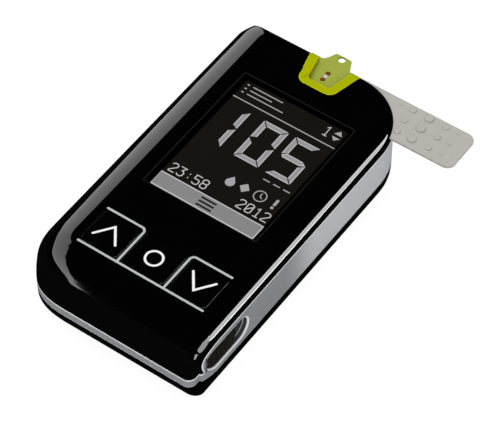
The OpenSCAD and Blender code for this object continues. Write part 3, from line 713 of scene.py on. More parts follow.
@dataclass
class CaseForm:
    """The moulded outline that the three shells share, with four different corners and rolls."""

    width: float = 52.4
    length: float = 92.7
    height: float = 19.0
    wall: float = 1.8
    front_left: Pair = (15.0, 14.4)
    back_right: float = 16.8
    front_right: float = 2.2
    front_right_low: float = 3.2
    back_left: float = 3.5
    left_roll: float = 7.5
    left_drop: float = 6.0
    right_roll: float = 2.4
    back_roll: float = 1.4
    nose_run: float = 9.5
    nose_drop: float = 11.7
    bottom_roll: float = 3.3
    side_foot: float = 2.3
    pinch_w: float = 1.6
    pinch_l: float = 3.6
    pinch_start: float = 2.5
    step_start: float = 3.2
    step_l: float = 0.4
    taper_w: float = 1.0
    taper_l: float = 5.0
    top_corner: float = 0.4
    front_power: float = 2.8
    back_power: float = 2.2
    big_steps: int = 56
    small_steps: int = 12
    step_points: int = 8
    taper_points: int = 14

    def roll(self, z: float, run: float, drop: float, inset: float) -> float:
        """Give the inset of a top edge that rolls over, at height z."""
        if z <= self.height - drop:
            return inset
        t = (z - self.height + drop) / (drop - inset)
        return run - (run - inset) * math.sqrt(max(0.0, 1 - t * t))

    @staticmethod
    def foot(z: float, inset: float, r: float) -> float:
        """Give the inset of a bottom edge rounded by r at height z."""
        if z >= r:
            return inset
        return r - math.sqrt(max(0.0, (r - inset) ** 2 - (r - z) ** 2))

    @staticmethod
    def rise(top: float, drop: float, steps: int, floor: float) -> list[float]:
        """Give the heights above a floor that crowd together towards the top."""
        heights = [top - drop * (1 - i / steps) ** 2 for i in range(steps + 1)]
        return [z for z in heights if z > floor]

    @staticmethod
    def eased(t: float) -> float:
        """Hold a share between 0 and 1 and ease both ends."""
        t = min(1.0, max(0.0, t))
        return t * t * (3 - 2 * t)

    def pinch(self, d: float, inset: float) -> float:
        """Give how far the right wall is drawn in at distance d behind the front edge."""
        if inset > 0:
            return self.pinch_w * (1 - self.eased((d - self.pinch_start) / self.pinch_l))
        t = min(1.0, max(0.0, (d - self.step_start - self.step_l) / self.taper_l))
        step = self.eased((d - self.step_start) / self.step_l)
        return (self.pinch_w - self.taper_w) * (1 - step) + self.taper_w * (1 - t) ** 2

    @staticmethod
    def quarter(centre: Pair, signs: Pair, a: float, b: float, power: float, steps: int,
                backwards: bool) -> Outline:
        """Give a quarter of a superellipse about a centre, towards the given signs."""
        out = []
        for i in range(steps + 1):
            t = math.pi / 2 * ((steps - i) if backwards else i) / steps
            out.append((centre[0] + signs[0] * a * max(0.0, math.cos(t)) ** (2 / power),
                        centre[1] + signs[1] * b * max(0.0, math.sin(t)) ** (2 / power)))
        return out

    def outline(self, z: float, inset: float, pinched: bool = True, extra: float = 0.0) -> Outline:
        """Give the case outline at height z.

        Args:
            z: height above the bottom face.
            inset: distance inside the outer surface.
            pinched: whether the right wall is drawn in behind the front right corner.
            extra: further inset of the flat top's support ring.

        Returns:
            The outline, anticlockwise.
        """
        low = self.foot(z, inset, self.bottom_roll)
        il = max(self.roll(z, self.left_roll, self.left_drop, inset), low) + extra
        side = self.foot(z, inset, self.side_foot)
        ir = max(self.roll(z, self.right_roll, self.right_roll, inset), side) + extra
        ifr = max(self.roll(z, self.nose_run, self.nose_drop, inset), low) + extra
        ib = max(self.roll(z, self.back_roll, self.back_roll, inset), low) + extra
        x0, x1 = -self.width / 2 + il, self.width / 2 - ir
        y0, y1 = -self.length / 2 + ifr, self.length / 2 - ib
        a1, b1 = max(self.front_left[0] - il, 1), max(self.front_left[1] - ifr, 1)
        corner = self.front_right if pinched else self.front_right_low
        a2, b2 = max(corner - ir, 0.5), max(corner - ifr, 0.5)
        a3, b3 = max(self.back_right - ir, 1), max(self.back_right - ib, 1)
        a4, b4 = max(self.back_left - il, self.top_corner * il), max(self.back_left - ib, self.top_corner * il)
        draw = 1.0 if pinched else 0.0
        front = -self.length / 2
        py = y0 + b2
        n, m = self.step_points, self.taper_points
        bends = [self.step_start + self.step_l * k / n for k in range(n + 1)]
        bends += [self.step_start + self.step_l + self.taper_l * k / m for k in range(1, m + 1)]
        waist = []
        for k, bend in enumerate(bends):
            y = max(front + bend, py + 0.05 * (k + 1))
            waist.append((x1 - draw * self.pinch(y - front, inset), y))
        elbow = x1 - draw * self.pinch(py - front, inset) - a2
        return (self.quarter((x0 + a1, y0 + b1), (-1, -1), a1, b1, self.front_power, self.big_steps, False)
                + self.quarter((elbow, py), (1, -1), a2, b2, 2, self.small_steps, True)
                + waist
                + self.quarter((x1 - a3, y1 - b3), (1, 1), a3, b3, self.back_power, self.big_steps, False)
                + self.quarter((x0 + a4, y1 - b4), (-1, 1), a4, b4, 2, self.small_steps, True))

    def shell(self, name: str, heights: Sequence[float], inset: float, pinched: bool = True,
              support: float = 0.0) -> Piece:
        """Loft a solid through the outlines at the given heights.

        Args:
            name: the object's name.
            heights: heights from the bottom up.
            inset: distance inside the outer surface.
            pinched: as in outline.
            support: width of a last ring on the flat top, which keeps it flat in the shading.

        Returns:
            The closed solid.
        """
        rings = [[(x, y, z) for x, y in self.outline(z, inset, pinched)] for z in heights]
        if support:
            z = heights[-1]
            rings.append([(x, y, z) for x, y in self.outline(z, inset, pinched, support)])
        return Mould.loft(name, rings)


@dataclass
class Shells:
    """Top cover, silver frame and bottom cover.

    Attributes:
        form: the outline that they share.
        frame_z: height of the silver band's foot.
        band_z: height of its top.
        panel_z: height of the tall panel's top.
        panel_front: distance of the panel's front arc behind the front edge.
        panel_back_x: middle of the panel's arc in the back wall.
        reveal: fine joint between the shells.
        window: width, length and middle of the display window.
        window_t: depth of its seat.
        lit: width, length and middle of the opening below it.
        oval: length, height and middle of the slider's opening.
        bay: width, length and middle along Y of the battery bay.
    """

    form: CaseForm = field(default_factory=CaseForm)
    frame_z: float = 4.4
    band_z: float = 7.4
    panel_z: float = 15.8
    panel_front: float = 9.3
    panel_back_x: float = 8.0
    reveal: float = 0.07
    window: tuple[float, float, float, float] = (33.0, 42.3, 1.6, 9.75)
    window_t: float = 1.4
    lit: tuple[float, float, float, float] = (30.24, 40.56, 1.32, 10.05)
    oval: tuple[float, float, float, float] = (15.9, 7.0, -33.7, 10.1)
    bay: Point = (22.8, 48.35, -6.325)

    def panel_zone(self, grow: float) -> list[Piece]:
        """Give the solids that together stand where the tall silver panel is, grown by a gap."""
        f = self.form
        right, back, front = f.width / 2, f.length / 2, -f.length / 2
        r = (self.panel_z - self.frame_z) / 2
        mid = self.frame_z + r
        end_y = front + self.panel_front
        low, high = self.frame_z - grow, self.panel_z + grow
        turn = back - f.back_right
        side = Mould.box("zone_side", (right - f.wall - 0.6, end_y, low), (right + 1, turn, high))
        nose = self.barrel("zone_nose", r + grow, (right - f.wall - f.pinch_w - 0.4, end_y, mid), "x",
                           f.wall + f.pinch_w + 2)
        rear = Mould.box("zone_rear", (self.panel_back_x, turn - 0.01, low), (right + 1, back + 1, high))
        keep = Mould.box("zone_keep", (self.panel_back_x - 1, turn - 1, 0),
                         (right - f.back_right, back - f.wall - 0.4, f.height))
        Mould.carve(rear, [keep])
        tail = self.barrel("zone_tail", r + grow, (self.panel_back_x, back - f.wall - 0.4, mid), "y",
                           f.wall + 2)
        return [side, nose, rear, tail]

    @staticmethod
    def barrel(name: str, r: float, start: Sequence[float], along: str, length: float) -> Piece:
        """Make a lying cylinder that starts at a point."""
        ring = Mould.circle(r, 0, 0, 96)
        if along == "x":
            rings = [[(start[0] + d, start[1] + p, start[2] + q) for p, q in ring] for d in (0, length)]
        else:
            rings = [[(start[0] - p, start[1] + d, start[2] + q) for p, q in ring] for d in (0, length)]
        return Mould.loft(name, rings)

    @staticmethod
    def stadium(name: str, l: float, h: float, x0: float, x1: float, y: float, z: float) -> Piece:
        """Make a lying stadium across the right wall from x0 to x1."""
        ring = Mould.rounded(l, h, h / 2 - 0.001, y, z, 24)
        return Mould.loft(name, [[(x, p, q) for p, q in ring] for x in (x0, x1)])

    def top(self) -> Piece:
        """Build the gloss black top cover."""
        f = self.form
        heights = [self.band_z + self.reveal] + f.rise(f.height, f.nose_drop, 44, self.band_z + 0.2)
        cover = f.shell("top_cover_shell", heights, 0.0, support=0.5)
        inner = [self.band_z - 1] + f.rise(f.height - f.wall, 9.9, 14, self.band_z)
        Mould.carve(cover, [f.shell("inner", inner, f.wall)] + self.panel_zone(self.reveal))
        w, l, x, y = self.window
        tools = [Mould.prism("window_seat", Mould.rounded(w + 0.1, l + 0.1, 0.4, x, y),
                             f.height - self.window_t, f.height + 1)]
        w, l, x, y = self.lit
        tools.append(Mould.prism("lit_area", Mould.rounded(w, l, 0.4, x, y), f.height - 3, f.height))
        Mould.carve(cover, tools + Keypad().openings() + StripPort().openings())
        return Mould.done(cover, Look.CASE, "housing", "gloss_black", ["top_cover"])

    def middle(self) -> Piece:
        """Build the silver frame with its tall panel and the oval opening."""
        f = self.form
        outer = f.outline(f.bottom_roll, 0.0)
        inner = f.outline(f.bottom_roll, f.wall)
        band = Mould.prism("mid_frame_shell", outer, self.frame_z + self.reveal, self.band_z)
        Mould.carve(band, [Mould.prism("core", inner, 0, f.height)])
        tall = Mould.prism("tall", outer, self.frame_z + self.reveal, self.panel_z)
        Mould.carve(tall, [Mould.prism("core", inner, 0, f.height)])
        zone = self.panel_zone(0.0)
        Mould.carve(zone[0], zone[1:], "UNION")
        Mould.carve(tall, [zone[0]], "INTERSECT")
        Mould.carve(band, [tall], "UNION")
        l, h, mid_y, mid_z = self.oval
        Mould.carve(band, [self.stadium("oval", l, h, 21.0, 27.5, mid_y, mid_z)])
        # painted shade: the oval opening's inner walls take the dark inner plastic instead of the silver paint,
        # darkening the recess round the slider
        for face in band.data.polygons:
            x, y, z = (c / MM for c in face.center)
            near = abs(y - mid_y) < l / 2 + 0.01 and abs(z - mid_z) < h / 2 + 0.01
            if abs(face.normal.x) < 0.1 and x > 20 and near:
                face.material_index = 2
        # the frame's rounded edges take the near white finish as a painted highlight
        Mould.soften(band, 0.4, 3, 45.0, (Look.FRAME, Look.FRAME_PAINTED_HIGHLIGHT, Look.GUIDE))
        return Mould.done(band, Look.FRAME, "housing", "silver_paint", ["mid_frame"], 40.0)

    def bottom(self) -> Piece:
        """Build the gloss black bottom cover with its battery bay."""
        f = self.form
        r = f.bottom_roll
        heights = [r - r * math.cos(math.pi / 2 * k / 12) for k in range(13)] + [self.frame_z]
        tray = f.shell("bottom_cover_shell", heights, 0.0, False)
        Mould.carve(tray, [f.shell("inner", [f.wall, 2.1, 2.6, r, self.frame_z + 1], f.wall, False)])
        bay_w, bay_l, bay_y = self.bay
        walls = Mould.prism("bay", Mould.rounded(bay_w + 2, bay_l + 2, 1, 0, bay_y), 0.01, 12.5)
        Mould.carve(walls, [Mould.prism("bay_room", Mould.rounded(bay_w, bay_l, 0.3, 0, bay_y), -1, 14)])
        posts = [Mould.prism("post", Mould.circle(2.5, x, y), 1.7, 12.8) for x, y in Underside.SCREWS]
        Mould.carve(tray, [walls] + posts, "UNION")
        tools = [Mould.prism("hole", Mould.circle(0.85, x, y, 32), -1, 14) for x, y in Underside.SCREWS]
        tools += [Mould.prism("sink", Mould.circle(1.7, x, y), -1, 1.5) for x, y in Underside.SCREWS]
        tools.append(Mould.prism("bay_cut", Mould.rounded(bay_w, bay_l, 0.3, 0, bay_y), -1, 3.8))
        tools.append(Mould.prism("seat", Mould.rounded(bay_w + 1.8, bay_l + 1.8, 1, 0, bay_y), -1, 1.2))
        Mould.carve(tray, tools)
        return Mould.done(tray, Look.CASE, "housing", "gloss_black", ["bottom_cover"])


# ---------------------------------------------------------------- keys


@dataclass
class Keypad:
    """Three press keys with their white signs and the pale line round them.

    Attributes:
        x: middle of the middle key.
        y: middle of the row.
        side_w: width of the outer keys.
        mid_w: width of the middle key.
        length: length of all three.
        pitch: distance between their middles.
        gap: play in the openings.
        top: height of their faces.
        roof: height of the cover's inner face.
        line_w: width of the pale line.
        line_gap: clear strip between the keys and the line.
        line_half: from the edge of that strip to the line's middle.
        line_side: from the middle key's side to the line.
        line_bend: radius of the line's corners.
        line_over: how far the line passes the outer keys.
        mark_w: width of the chevrons.
        mark_depth: depth of the signs.
        mark_shift: how far the signs stand left of the keys' middles.
        mark_pitch: distance between them.
        ring: outer and inner radius of the middle sign.
        chevron: half width, foot and tip of the outer signs.
    """

    x: float = 1.75
    y: float = -28.95
    side_w: float = 10.7
    mid_w: float = 12.1
    length: float = 10.2
    pitch: float = 12.76
    gap: float = 0.12
    top: float = 19.0
    roof: float = 17.2
    line_w: float = 0.6
    line_gap: float = 0.4
    line_half: float = 0.325
    line_side: float = 0.68
    line_bend: float = 1.2
    line_over: float = 0.6
    mark_w: float = 0.62
    mark_depth: float = 0.25
    mark_shift: float = 0.15
    mark_pitch: float = 12.97
    ring: Pair = (2.45, 1.85)
    chevron: Point = (3.3, 2.25, 2.2)

    def place(self, i: int) -> Pair:
        """Give the middle of one key."""
        return self.x + i * self.pitch, self.y

    def outline(self, i: int, grow: float, r: float) -> Outline:
        """Give one key's outline, grown by a gap."""
        w = self.mid_w if i == 0 else self.side_w
        return Mould.rounded(w + 2 * grow, self.length + 2 * grow, r, *self.place(i))

    def lines(self) -> list[Outline]:
        """Give the outlines of the pale line's strokes."""
        base = self.y - self.length / 2 - self.line_gap - self.line_half
        top = self.y + self.length / 2 + self.line_gap + self.line_half
        up, bend = self.mid_w / 2 + self.line_side, self.line_bend
        far = up + self.side_w + self.line_over
        out = [Mould.stroke([(self.x - far, base), (self.x + far, base)], self.line_w)]
        for s in (-1, 1):
            turns = [math.radians(a) for a in range(0, 91, 9)]
            arc = [(self.x + s * (up + bend - bend * math.cos(a)), top - bend + bend * math.sin(a))
                   for a in turns]
            out.append(Mould.stroke([(self.x + s * up, base)] + arc + [(self.x + s * far, top)], self.line_w))
        return out

    def openings(self) -> list[Piece]:
        """Give the tools that cut the key openings and the line's groove."""
        tools = [Mould.prism("key_opening", self.outline(i, self.gap, 1.0), self.roof - 1, self.top + 1)
                 for i in (-1, 0, 1)]
        return tools + [Mould.prism("groove", o, self.top - 0.3, self.top + 1) for o in self.lines()]

    def marks(self) -> dict[int, list[Piece]]:
        """Give each key's sign as solids, cut once from the key and once kept."""
        x, y, foot = self.x - self.mark_shift, self.y, self.top - self.mark_depth
        ring, eye = (Mould.circle(r, x, y, 72) for r in self.ring)
        solid = Mould.prism("ring", ring, foot, self.top)
        Mould.carve(solid, [Mould.prism("eye", eye, self.top - 1, self.top + 1)])
        signs = {0: [solid]}
        w, low, high = self.chevron
        for i, tip in ((-1, 1), (1, -1)):
            cx = x + i * self.mark_pitch
            path = [(cx - w, y - tip * low), (cx, y + tip * high), (cx + w, y - tip * low)]
            signs[i] = [Mould.prism("chevron", Mould.stroke(path, self.mark_w), foot, self.top)]
        return signs

    def build(self) -> None:
        """Build the keys, their signs and the line."""
        bodies = {-1: "up_button", 0: "enter_button", 1: "down_button"}
        nodes = {-1: "up_key", 0: "enter_key", 1: "down_key"}
        tools, signs = self.marks(), self.marks()
        for i in (-1, 0, 1):
            name = nodes[i]
            cap = Mould.plate(name + "_cap", self.outline(i, 0.0, 0.85), self.roof - 0.3, self.top, top=0.06)
            skirt = Mould.prism("skirt", self.outline(i, 0.5, 1.2), self.roof - 0.85, self.roof - 0.05)
            stem = Mould.prism("stem", Mould.circle(1.6, *self.place(i)), 14.67, self.roof - 0.5)
            Mould.carve(cap, [skirt, stem], "UNION")
            Mould.carve(cap, tools[i])
            Mould.done(cap, Look.KEY, bodies[i], "gloss_black", [name])
            mark = signs[i][0]
            mark.name = name + "_sign"
            Mould.done(mark, Look.LEGEND, bodies[i], "line_grey")
        lines = [Mould.prism("line", o, self.top - 0.3, self.top) for o in self.lines()]
        trim = Mould.carve(lines[0], lines[1:], "UNION")
        trim.name = "key_line"
        Mould.done(trim, Look.LINE, "housing", "line_grey", ["key_trim"])


# ---------------------------------------------------------------- display


class Glyph(Enum):
    """Plain numerals as strokes on a grid two wide and four high."""

    ZERO = [[(0, 0.5), (0, 3.5), (0.5, 4), (1.5, 4), (2, 3.5), (2, 0.5), (1.5, 0), (0.5, 0), (0, 0.5)],
            [(0.2, 1.0), (1.8, 3.0)]]
    ONE = [[(0.4, 3.4), (1.1, 4), (1.1, 0)], [(0.4, 0), (1.8, 0)]]
    TWO = [[(0, 3.4), (0.5, 4), (1.5, 4), (2, 3.5), (2, 2.7), (0, 0.4)], [(0, 0), (2, 0)]]
    THREE = [[(0, 4), (2, 4), (1.0, 2.5), (1.5, 2.4), (2, 1.8), (2, 0.6), (1.4, 0), (0.5, 0), (0, 0.5)]]
    FIVE = [[(2, 4), (0, 4), (0, 2.3), (1.5, 2.3), (2, 1.8), (2, 0.5), (1.5, 0), (0.5, 0), (0, 0.4)]]
    EIGHT = [[(0.5, 2.1), (0, 2.6), (0, 3.5), (0.5, 4), (1.5, 4), (2, 3.5), (2, 2.6), (1.5, 2.1), (0.5, 2.1),
              (0, 1.6), (0, 0.5), (0.5, 0), (1.5, 0), (2, 0.5), (2, 1.6), (1.5, 2.1)]]
    COLON = [[(1, 2.75), (1, 2.95)], [(1, 0.95), (1, 1.15)]]


@dataclass
class DisplayPicture:
    """Window, its edge line and the picture on the liquid crystal panel.

    The picture lies below the window's face, so its drawing places, which are those seen on the
    face from the front right, are shifted back along that sight line by its depth.

    Attributes:
        x: middle of the window.
        y: middle of the window.
        z: height of the panel's face.
        depth: how far that lies below the window's face.
        sight: direction towards the camera.
        width: width of the window.
        length: length of the window.
        pane: heights of the window's bottom and top.
        edge: width and foot of the grey line round its edge.
        layer: step between the layers of the picture.
        film: thickness of a layer.
        rim: width of the pale rim round the big numerals.
    """

    x: float = 1.6
    y: float = 9.75
    z: float = 17.105
    depth: float = 1.895
    sight: Point = (0.36123, -0.51, 0.78065)
    width: float = 33.0
    length: float = 42.3
    pane: Pair = (17.63, 18.995)
    edge: Pair = (0.16, 18.9)
    layer: float = 0.012
    film: float = 0.01
    rim: float = 0.24

    def at(self, x: float, y: float) -> Pair:
        """Turn a place seen on the window's face into one on the panel."""
        k = self.depth / self.sight[2]
        return self.x + x - k * self.sight[0], self.y + y - k * self.sight[1]

    def flat(self, name: str, outline: Sequence[Pair], layer: int = 0) -> Piece:
        """Lay a thin plate on the panel, drawn in face places."""
        z = self.z + self.layer * layer
        return Mould.prism(name, [self.at(*p) for p in outline], z, z + self.film)

    @staticmethod
    def segment(points: Sequence[Pair]) -> Outline:
        """Put a segment's corners into anticlockwise order."""
        area = sum(a[0] * b[1] - b[0] * a[1] for a, b in zip(points, list(points[1:]) + [points[0]]))
        return list(points) if area > 0 else list(points)[::-1]

    def big_digit(self, x0: float, lit: str, inset: float = 0.0, w: float = 7.25, t: float = 1.48,
                  gap: float = 0.2) -> list[Outline]:
        """Give the segments of one big numeral.

        Args:
            x0: left edge of its cell.
            lit: letters of the lit segments, a to g clockwise from the top and the middle.
            inset: how far the long edges are moved in, for the inner fill.
            w: width of the cell.
            t: thickness of a segment.
            gap: dark joint between neighbours.

        Returns:
            Outlines of the lit segments.
        """
        x1, y0, ym, y1 = x0 + w, -2.25, 4.72, 11.15
        g, o, n = gap, inset, t - inset

        def up(d: float) -> float:
            """Give the lower end of an upper upright at depth d."""
            return ym + g + d / t * (0.9 - g)

        def down(d: float) -> float:
            """Give the upper end of a lower upright at depth d."""
            return ym - g - d / t * (1.4 - g)

        bar = [(x0 + 0.25, ym - 0.1), (x0 + t * 0.95, ym + 0.72), (x1 - t, ym + 0.72), (x1 - 0.12, ym - 0.08),
               (x1 - t, ym - 0.78), (x0 + t * 0.55, ym - 0.78)]
        shapes = {
            "a": [(x0 + g + o, y1 - o), (x1 - g - o, y1 - o), (x1 - g - n, y1 - n), (x0 + g + n, y1 - n)],
            "b": [(x1 - o, y1 - g - o), (x1 - o, up(o)), (x1 - n, up(n)), (x1 - n, y1 - g - n)],
            "c": [(x1 - o, down(o)), (x1 - o, y0 + g + o), (x1 - n, y0 + g + n), (x1 - n, down(n))],
            "d": [(x0 + g + o, y0 + o), (x1 - g - o, y0 + o), (x1 - g - n, y0 + n), (x0 + g + n, y0 + n)],
            "e": [(x0 + o, down(o)), (x0 + o, y0 + g + o), (x0 + n, y0 + g + n), (x0 + n, down(n))],
            "f": [(x0 + o, y1 - g - o), (x0 + o, up(o)), (x0 + n, up(n)), (x0 + n, y1 - g - n)],
            "g": Mould.grown(self.segment(bar), -inset),
        }
        return [self.segment(shapes[s]) for s in lit]

    def small(self, glyph: Glyph, x: float, y: float, w: float, h: float) -> list[Outline]:
        """Give the stroke outlines of a small numeral whose lower left corner is at x, y."""
        return [Mould.stroke([(x + p[0] * w / 2, y + p[1] * h / 4) for p in path], 0.28, 4)
                for path in glyph.value]

    def row(self, glyphs: Sequence[Glyph], x: float, y: float, pitch: float, w: float,
            h: float) -> list[Outline]:
        """Give the outlines of a row of small numerals."""
        out = []
        for i, glyph in enumerate(glyphs):
            out += self.small(glyph, x + i * pitch, y, w, h)
        return out

    def signs(self) -> list[Outline]:
        """Give simple generic signs: list lines, triangles, a drop, a clock, a diamond and a mark."""

        def drawn(width: float, steps: int, *paths: Sequence[Pair]) -> list[Outline]:
            """Give the outlines of strokes of one width."""
            return [Mould.stroke(path, width, steps) for path in paths]

        out = [self.segment([(12.68, 17.43), (14.95, 17.43), (13.9, 18.85)]),
               self.segment([(12.68, 16.57), (14.95, 16.57), (13.8, 15.35)])]
        # the rule under the header, and its list of three dotted lines
        out += drawn(0.3, 2, [(-14.75, 13.36), (15.5, 13.36)])
        for k, end in enumerate((-3.2, -5.6, -1.4)):
            y = 18.3 - 1.35 * k
            out += drawn(0.3, 4, [(-11.9, y), (end, y)]) + drawn(0.4, 4, [(-13.5, y), (-13.2, y)])
        # a drop
        round_end = Mould.arc(0.98, -9.75, 1.25, [math.radians(a) for a in range(150, 391, 15)])
        out.append(self.segment([(0.98, -7.7)] + round_end))
        # a diamond
        out.append(self.segment([(4.9, -7.7), (6.3, -9.2), (4.9, -10.7), (3.5, -9.2)]))
        # a clock: ring and hands
        ring = Mould.arc(9.4, -9.15, 1.62, [math.radians(a) for a in range(0, 356, 12)])
        out += drawn(0.28, 2, ring + ring[:2]) + drawn(0.26, 4, [(9.4, -8.2), (9.4, -9.2), (10.1, -9.6)])
        # a mark: bar over a dot
        out += drawn(0.75, 6, [(13.7, -7.9), (13.7, -9.4)])
        out.append(Mould.circle(0.42, 13.7, -10.45, 16))
        # unit place: three short strokes
        out += drawn(0.3, 4, *([(7.0 + 2.9 * k, -4.3), (8.7 + 2.9 * k, -4.3)] for k in range(3)))
        return out

    def build(self) -> None:
        """Build the window, its edge line and the picture."""
        face = Mould.rounded(self.width, self.length, 0.35, self.x, self.y)
        pane = Mould.plate("window_pane", face, *self.pane, top=0.05)
        Mould.done(pane, Look.WINDOW, "housing", "window_glass", ["display_window"])
        line_w, foot = self.edge
        edge = Mould.prism("window_edge_line", face, foot, 19.0)
        Mould.carve(edge, [Mould.prism("inside", Mould.grown(face, -line_w), 18, 20)])
        Mould.done(edge, Look.EDGE_LINE, "housing", "line_grey")
        rims: list[Piece] = []
        cores: list[Piece] = []
        for x0, lit in ((-14.8, "bc"), (-3.45, "abcdef"), (5.8, "afgcd")):
            rims += [self.flat("rim", o, 1) for o in self.big_digit(x0, lit)]
            cores += [self.flat("core", o, 2) for o in self.big_digit(x0, lit, self.rim)]
        self.lay("display_big_rims", rims, Look.SEGMENT_RIM)
        self.lay("display_big_digits", cores, Look.SEGMENT)
        clock = [Glyph.TWO, Glyph.THREE, Glyph.COLON, Glyph.FIVE, Glyph.EIGHT]
        fine = self.row(clock, -13.5, -15.2, 2.28, 1.55, 2.75)
        fine += self.row([Glyph.TWO, Glyph.ZERO, Glyph.ONE, Glyph.TWO], 6.3, -15.05, 2.36, 1.6, 2.75)
        fine += self.row([Glyph.ONE], 10.2, 15.55, 2.3, 1.5, 3.0)
        self.lay("display_small_numbers", [self.flat("number", o, 1) for o in fine], Look.SEGMENT_RIM)
        self.lay("display_small_signs", [self.flat("sign", o, 1) for o in self.signs()], Look.SIGN)
        rim = self.flat("bar_rim", [(-16.5, -20.95), (17, -20.95), (17, -16.2), (-16.5, -16.2)], 0)
        self.lay("display_bar_rim", [rim], Look.SEGMENT_RIM)
        bar = self.flat("bar", [(-14.45, -20.55), (15.2, -20.55), (15.2, -16.5), (-14.45, -16.5)], 1)
        self.lay("display_bar", [bar], Look.BAR)
        menu = [Mould.stroke([(-1.7, y), (2.3, y)], 0.55, 4) for y in (-17.35, -18.55, -19.75)]
        self.lay("display_bar_sign", [self.flat("menu", o, 2) for o in menu], Look.INK)

    @staticmethod
    def lay(name: str, plates: Sequence[Piece], look: Look) -> None:
        """Join plates into one piece of the picture."""
        Mould.done(Mould.merged(name, plates), look, "housing", "white_plastic")


# ---------------------------------------------------------------- strip port and strip


@dataclass
class StripPort:
    """Lime bezel in the back edge, and the openings of the port.

    Attributes:
        x: middle of the port.
        front: its front edge.
        back: its open back.
        half_front: half its width at the front.
        half_back: half its width at the back.
        r: radius of the outer front corners.
        r_in: radius of the inner ones.
        rim: width of the bezel.
        flare: how much the rim narrows at the front and widens at the back.
        play: joint between bezel and cover.
        roll: radius of the case's back edge.
        z0: height of the bezel's foot.
        z1: height of its face.
    """

    x: float = 1.9
    front: float = 36.25
    back: float = 46.35
    half_front: float = 5.1
    half_back: float = 7.85
    r: float = 2.6
    r_in: float = 1.2
    rim: float = 2.1
    flare: float = 0.3
    play: float = 0.03
    roll: float = 1.4
    z0: float = 17.6
    z1: float = 19.0

    def outline(self, half_front: float, half_back: float, y0: float, y1: float, r: float) -> Outline:
        """Give a trapezoid open to the back, with rounded front corners, anticlockwise."""
        lean = math.atan((half_back - half_front) / (y1 - y0))
        cx, sweep = half_front - r * math.tan(math.pi / 4 - lean / 2), math.pi / 2 - lean
        left = [math.pi + sweep * k / 16 + lean for k in range(17)]
        right = [-math.pi / 2 + sweep * k / 16 for k in range(17)]
        return ([(self.x - half_back, y1)] + Mould.arc(self.x - cx, y0 + r, r, left)
                + Mould.arc(self.x + cx, y0 + r, r, right) + [(self.x + half_back, y1)])

    def openings(self) -> list[Piece]:
        """Give the tools that cut the port and the strip's slot from the top cover."""
        edge = self.outline(self.half_front, self.half_back, self.front, self.back + 1, self.r)
        port = Mould.prism("port_cut", edge, self.z0, self.z1 + 1)
        slot = Mould.box("strip_slot", (-6.2, 34.6, 16.7), (43, 60, 17.65))
        finger = Mould.box("finger_slot", (-8.3, 37.2, 16.72), (-5.9, 40.6, 17.63))
        return [port, slot, finger]

    def build(self) -> None:
        """Build the bezel with rounded edges and the case's rolled back."""
        outer = self.outline(self.half_front - self.play, self.half_back - self.play, self.front + self.play,
                             self.back + 1, self.r)
        bezel = Mould.prism("port_bezel_frame", outer, self.z0, self.z1)
        inner = self.outline(self.half_front - self.rim + self.flare, self.half_back - self.rim - self.flare,
                             self.front + self.rim, self.back + 2, self.r_in)
        Mould.carve(bezel, [Mould.prism("inside", inner, self.z0 - 1, self.z1 + 1)])
        roll = self.roll
        arc = [(self.back - roll + roll * math.sin(a), self.z1 - roll + roll * math.cos(a))
               for a in (math.pi / 2 * k / 12 for k in range(13))]
        profile = [(30.0, 16.0), (self.back, 16.0)] + arc[::-1] + [(30.0, self.z1)]
        keep = Mould.loft("rolled", [[(x, p, q) for p, q in profile] for x in (-13.0, 17.0)])
        Mould.carve(bezel, [keep], "INTERSECT")
        # the bezel's rounded edges take the lighter lime as a painted highlight
        Mould.soften(bezel, 0.14, 2, 45.0, (Look.LIME, Look.LIME_PAINTED_HIGHLIGHT))
        Mould.done(bezel, Look.LIME, "housing", "lime_plastic", ["port_bezel"], 40.0)


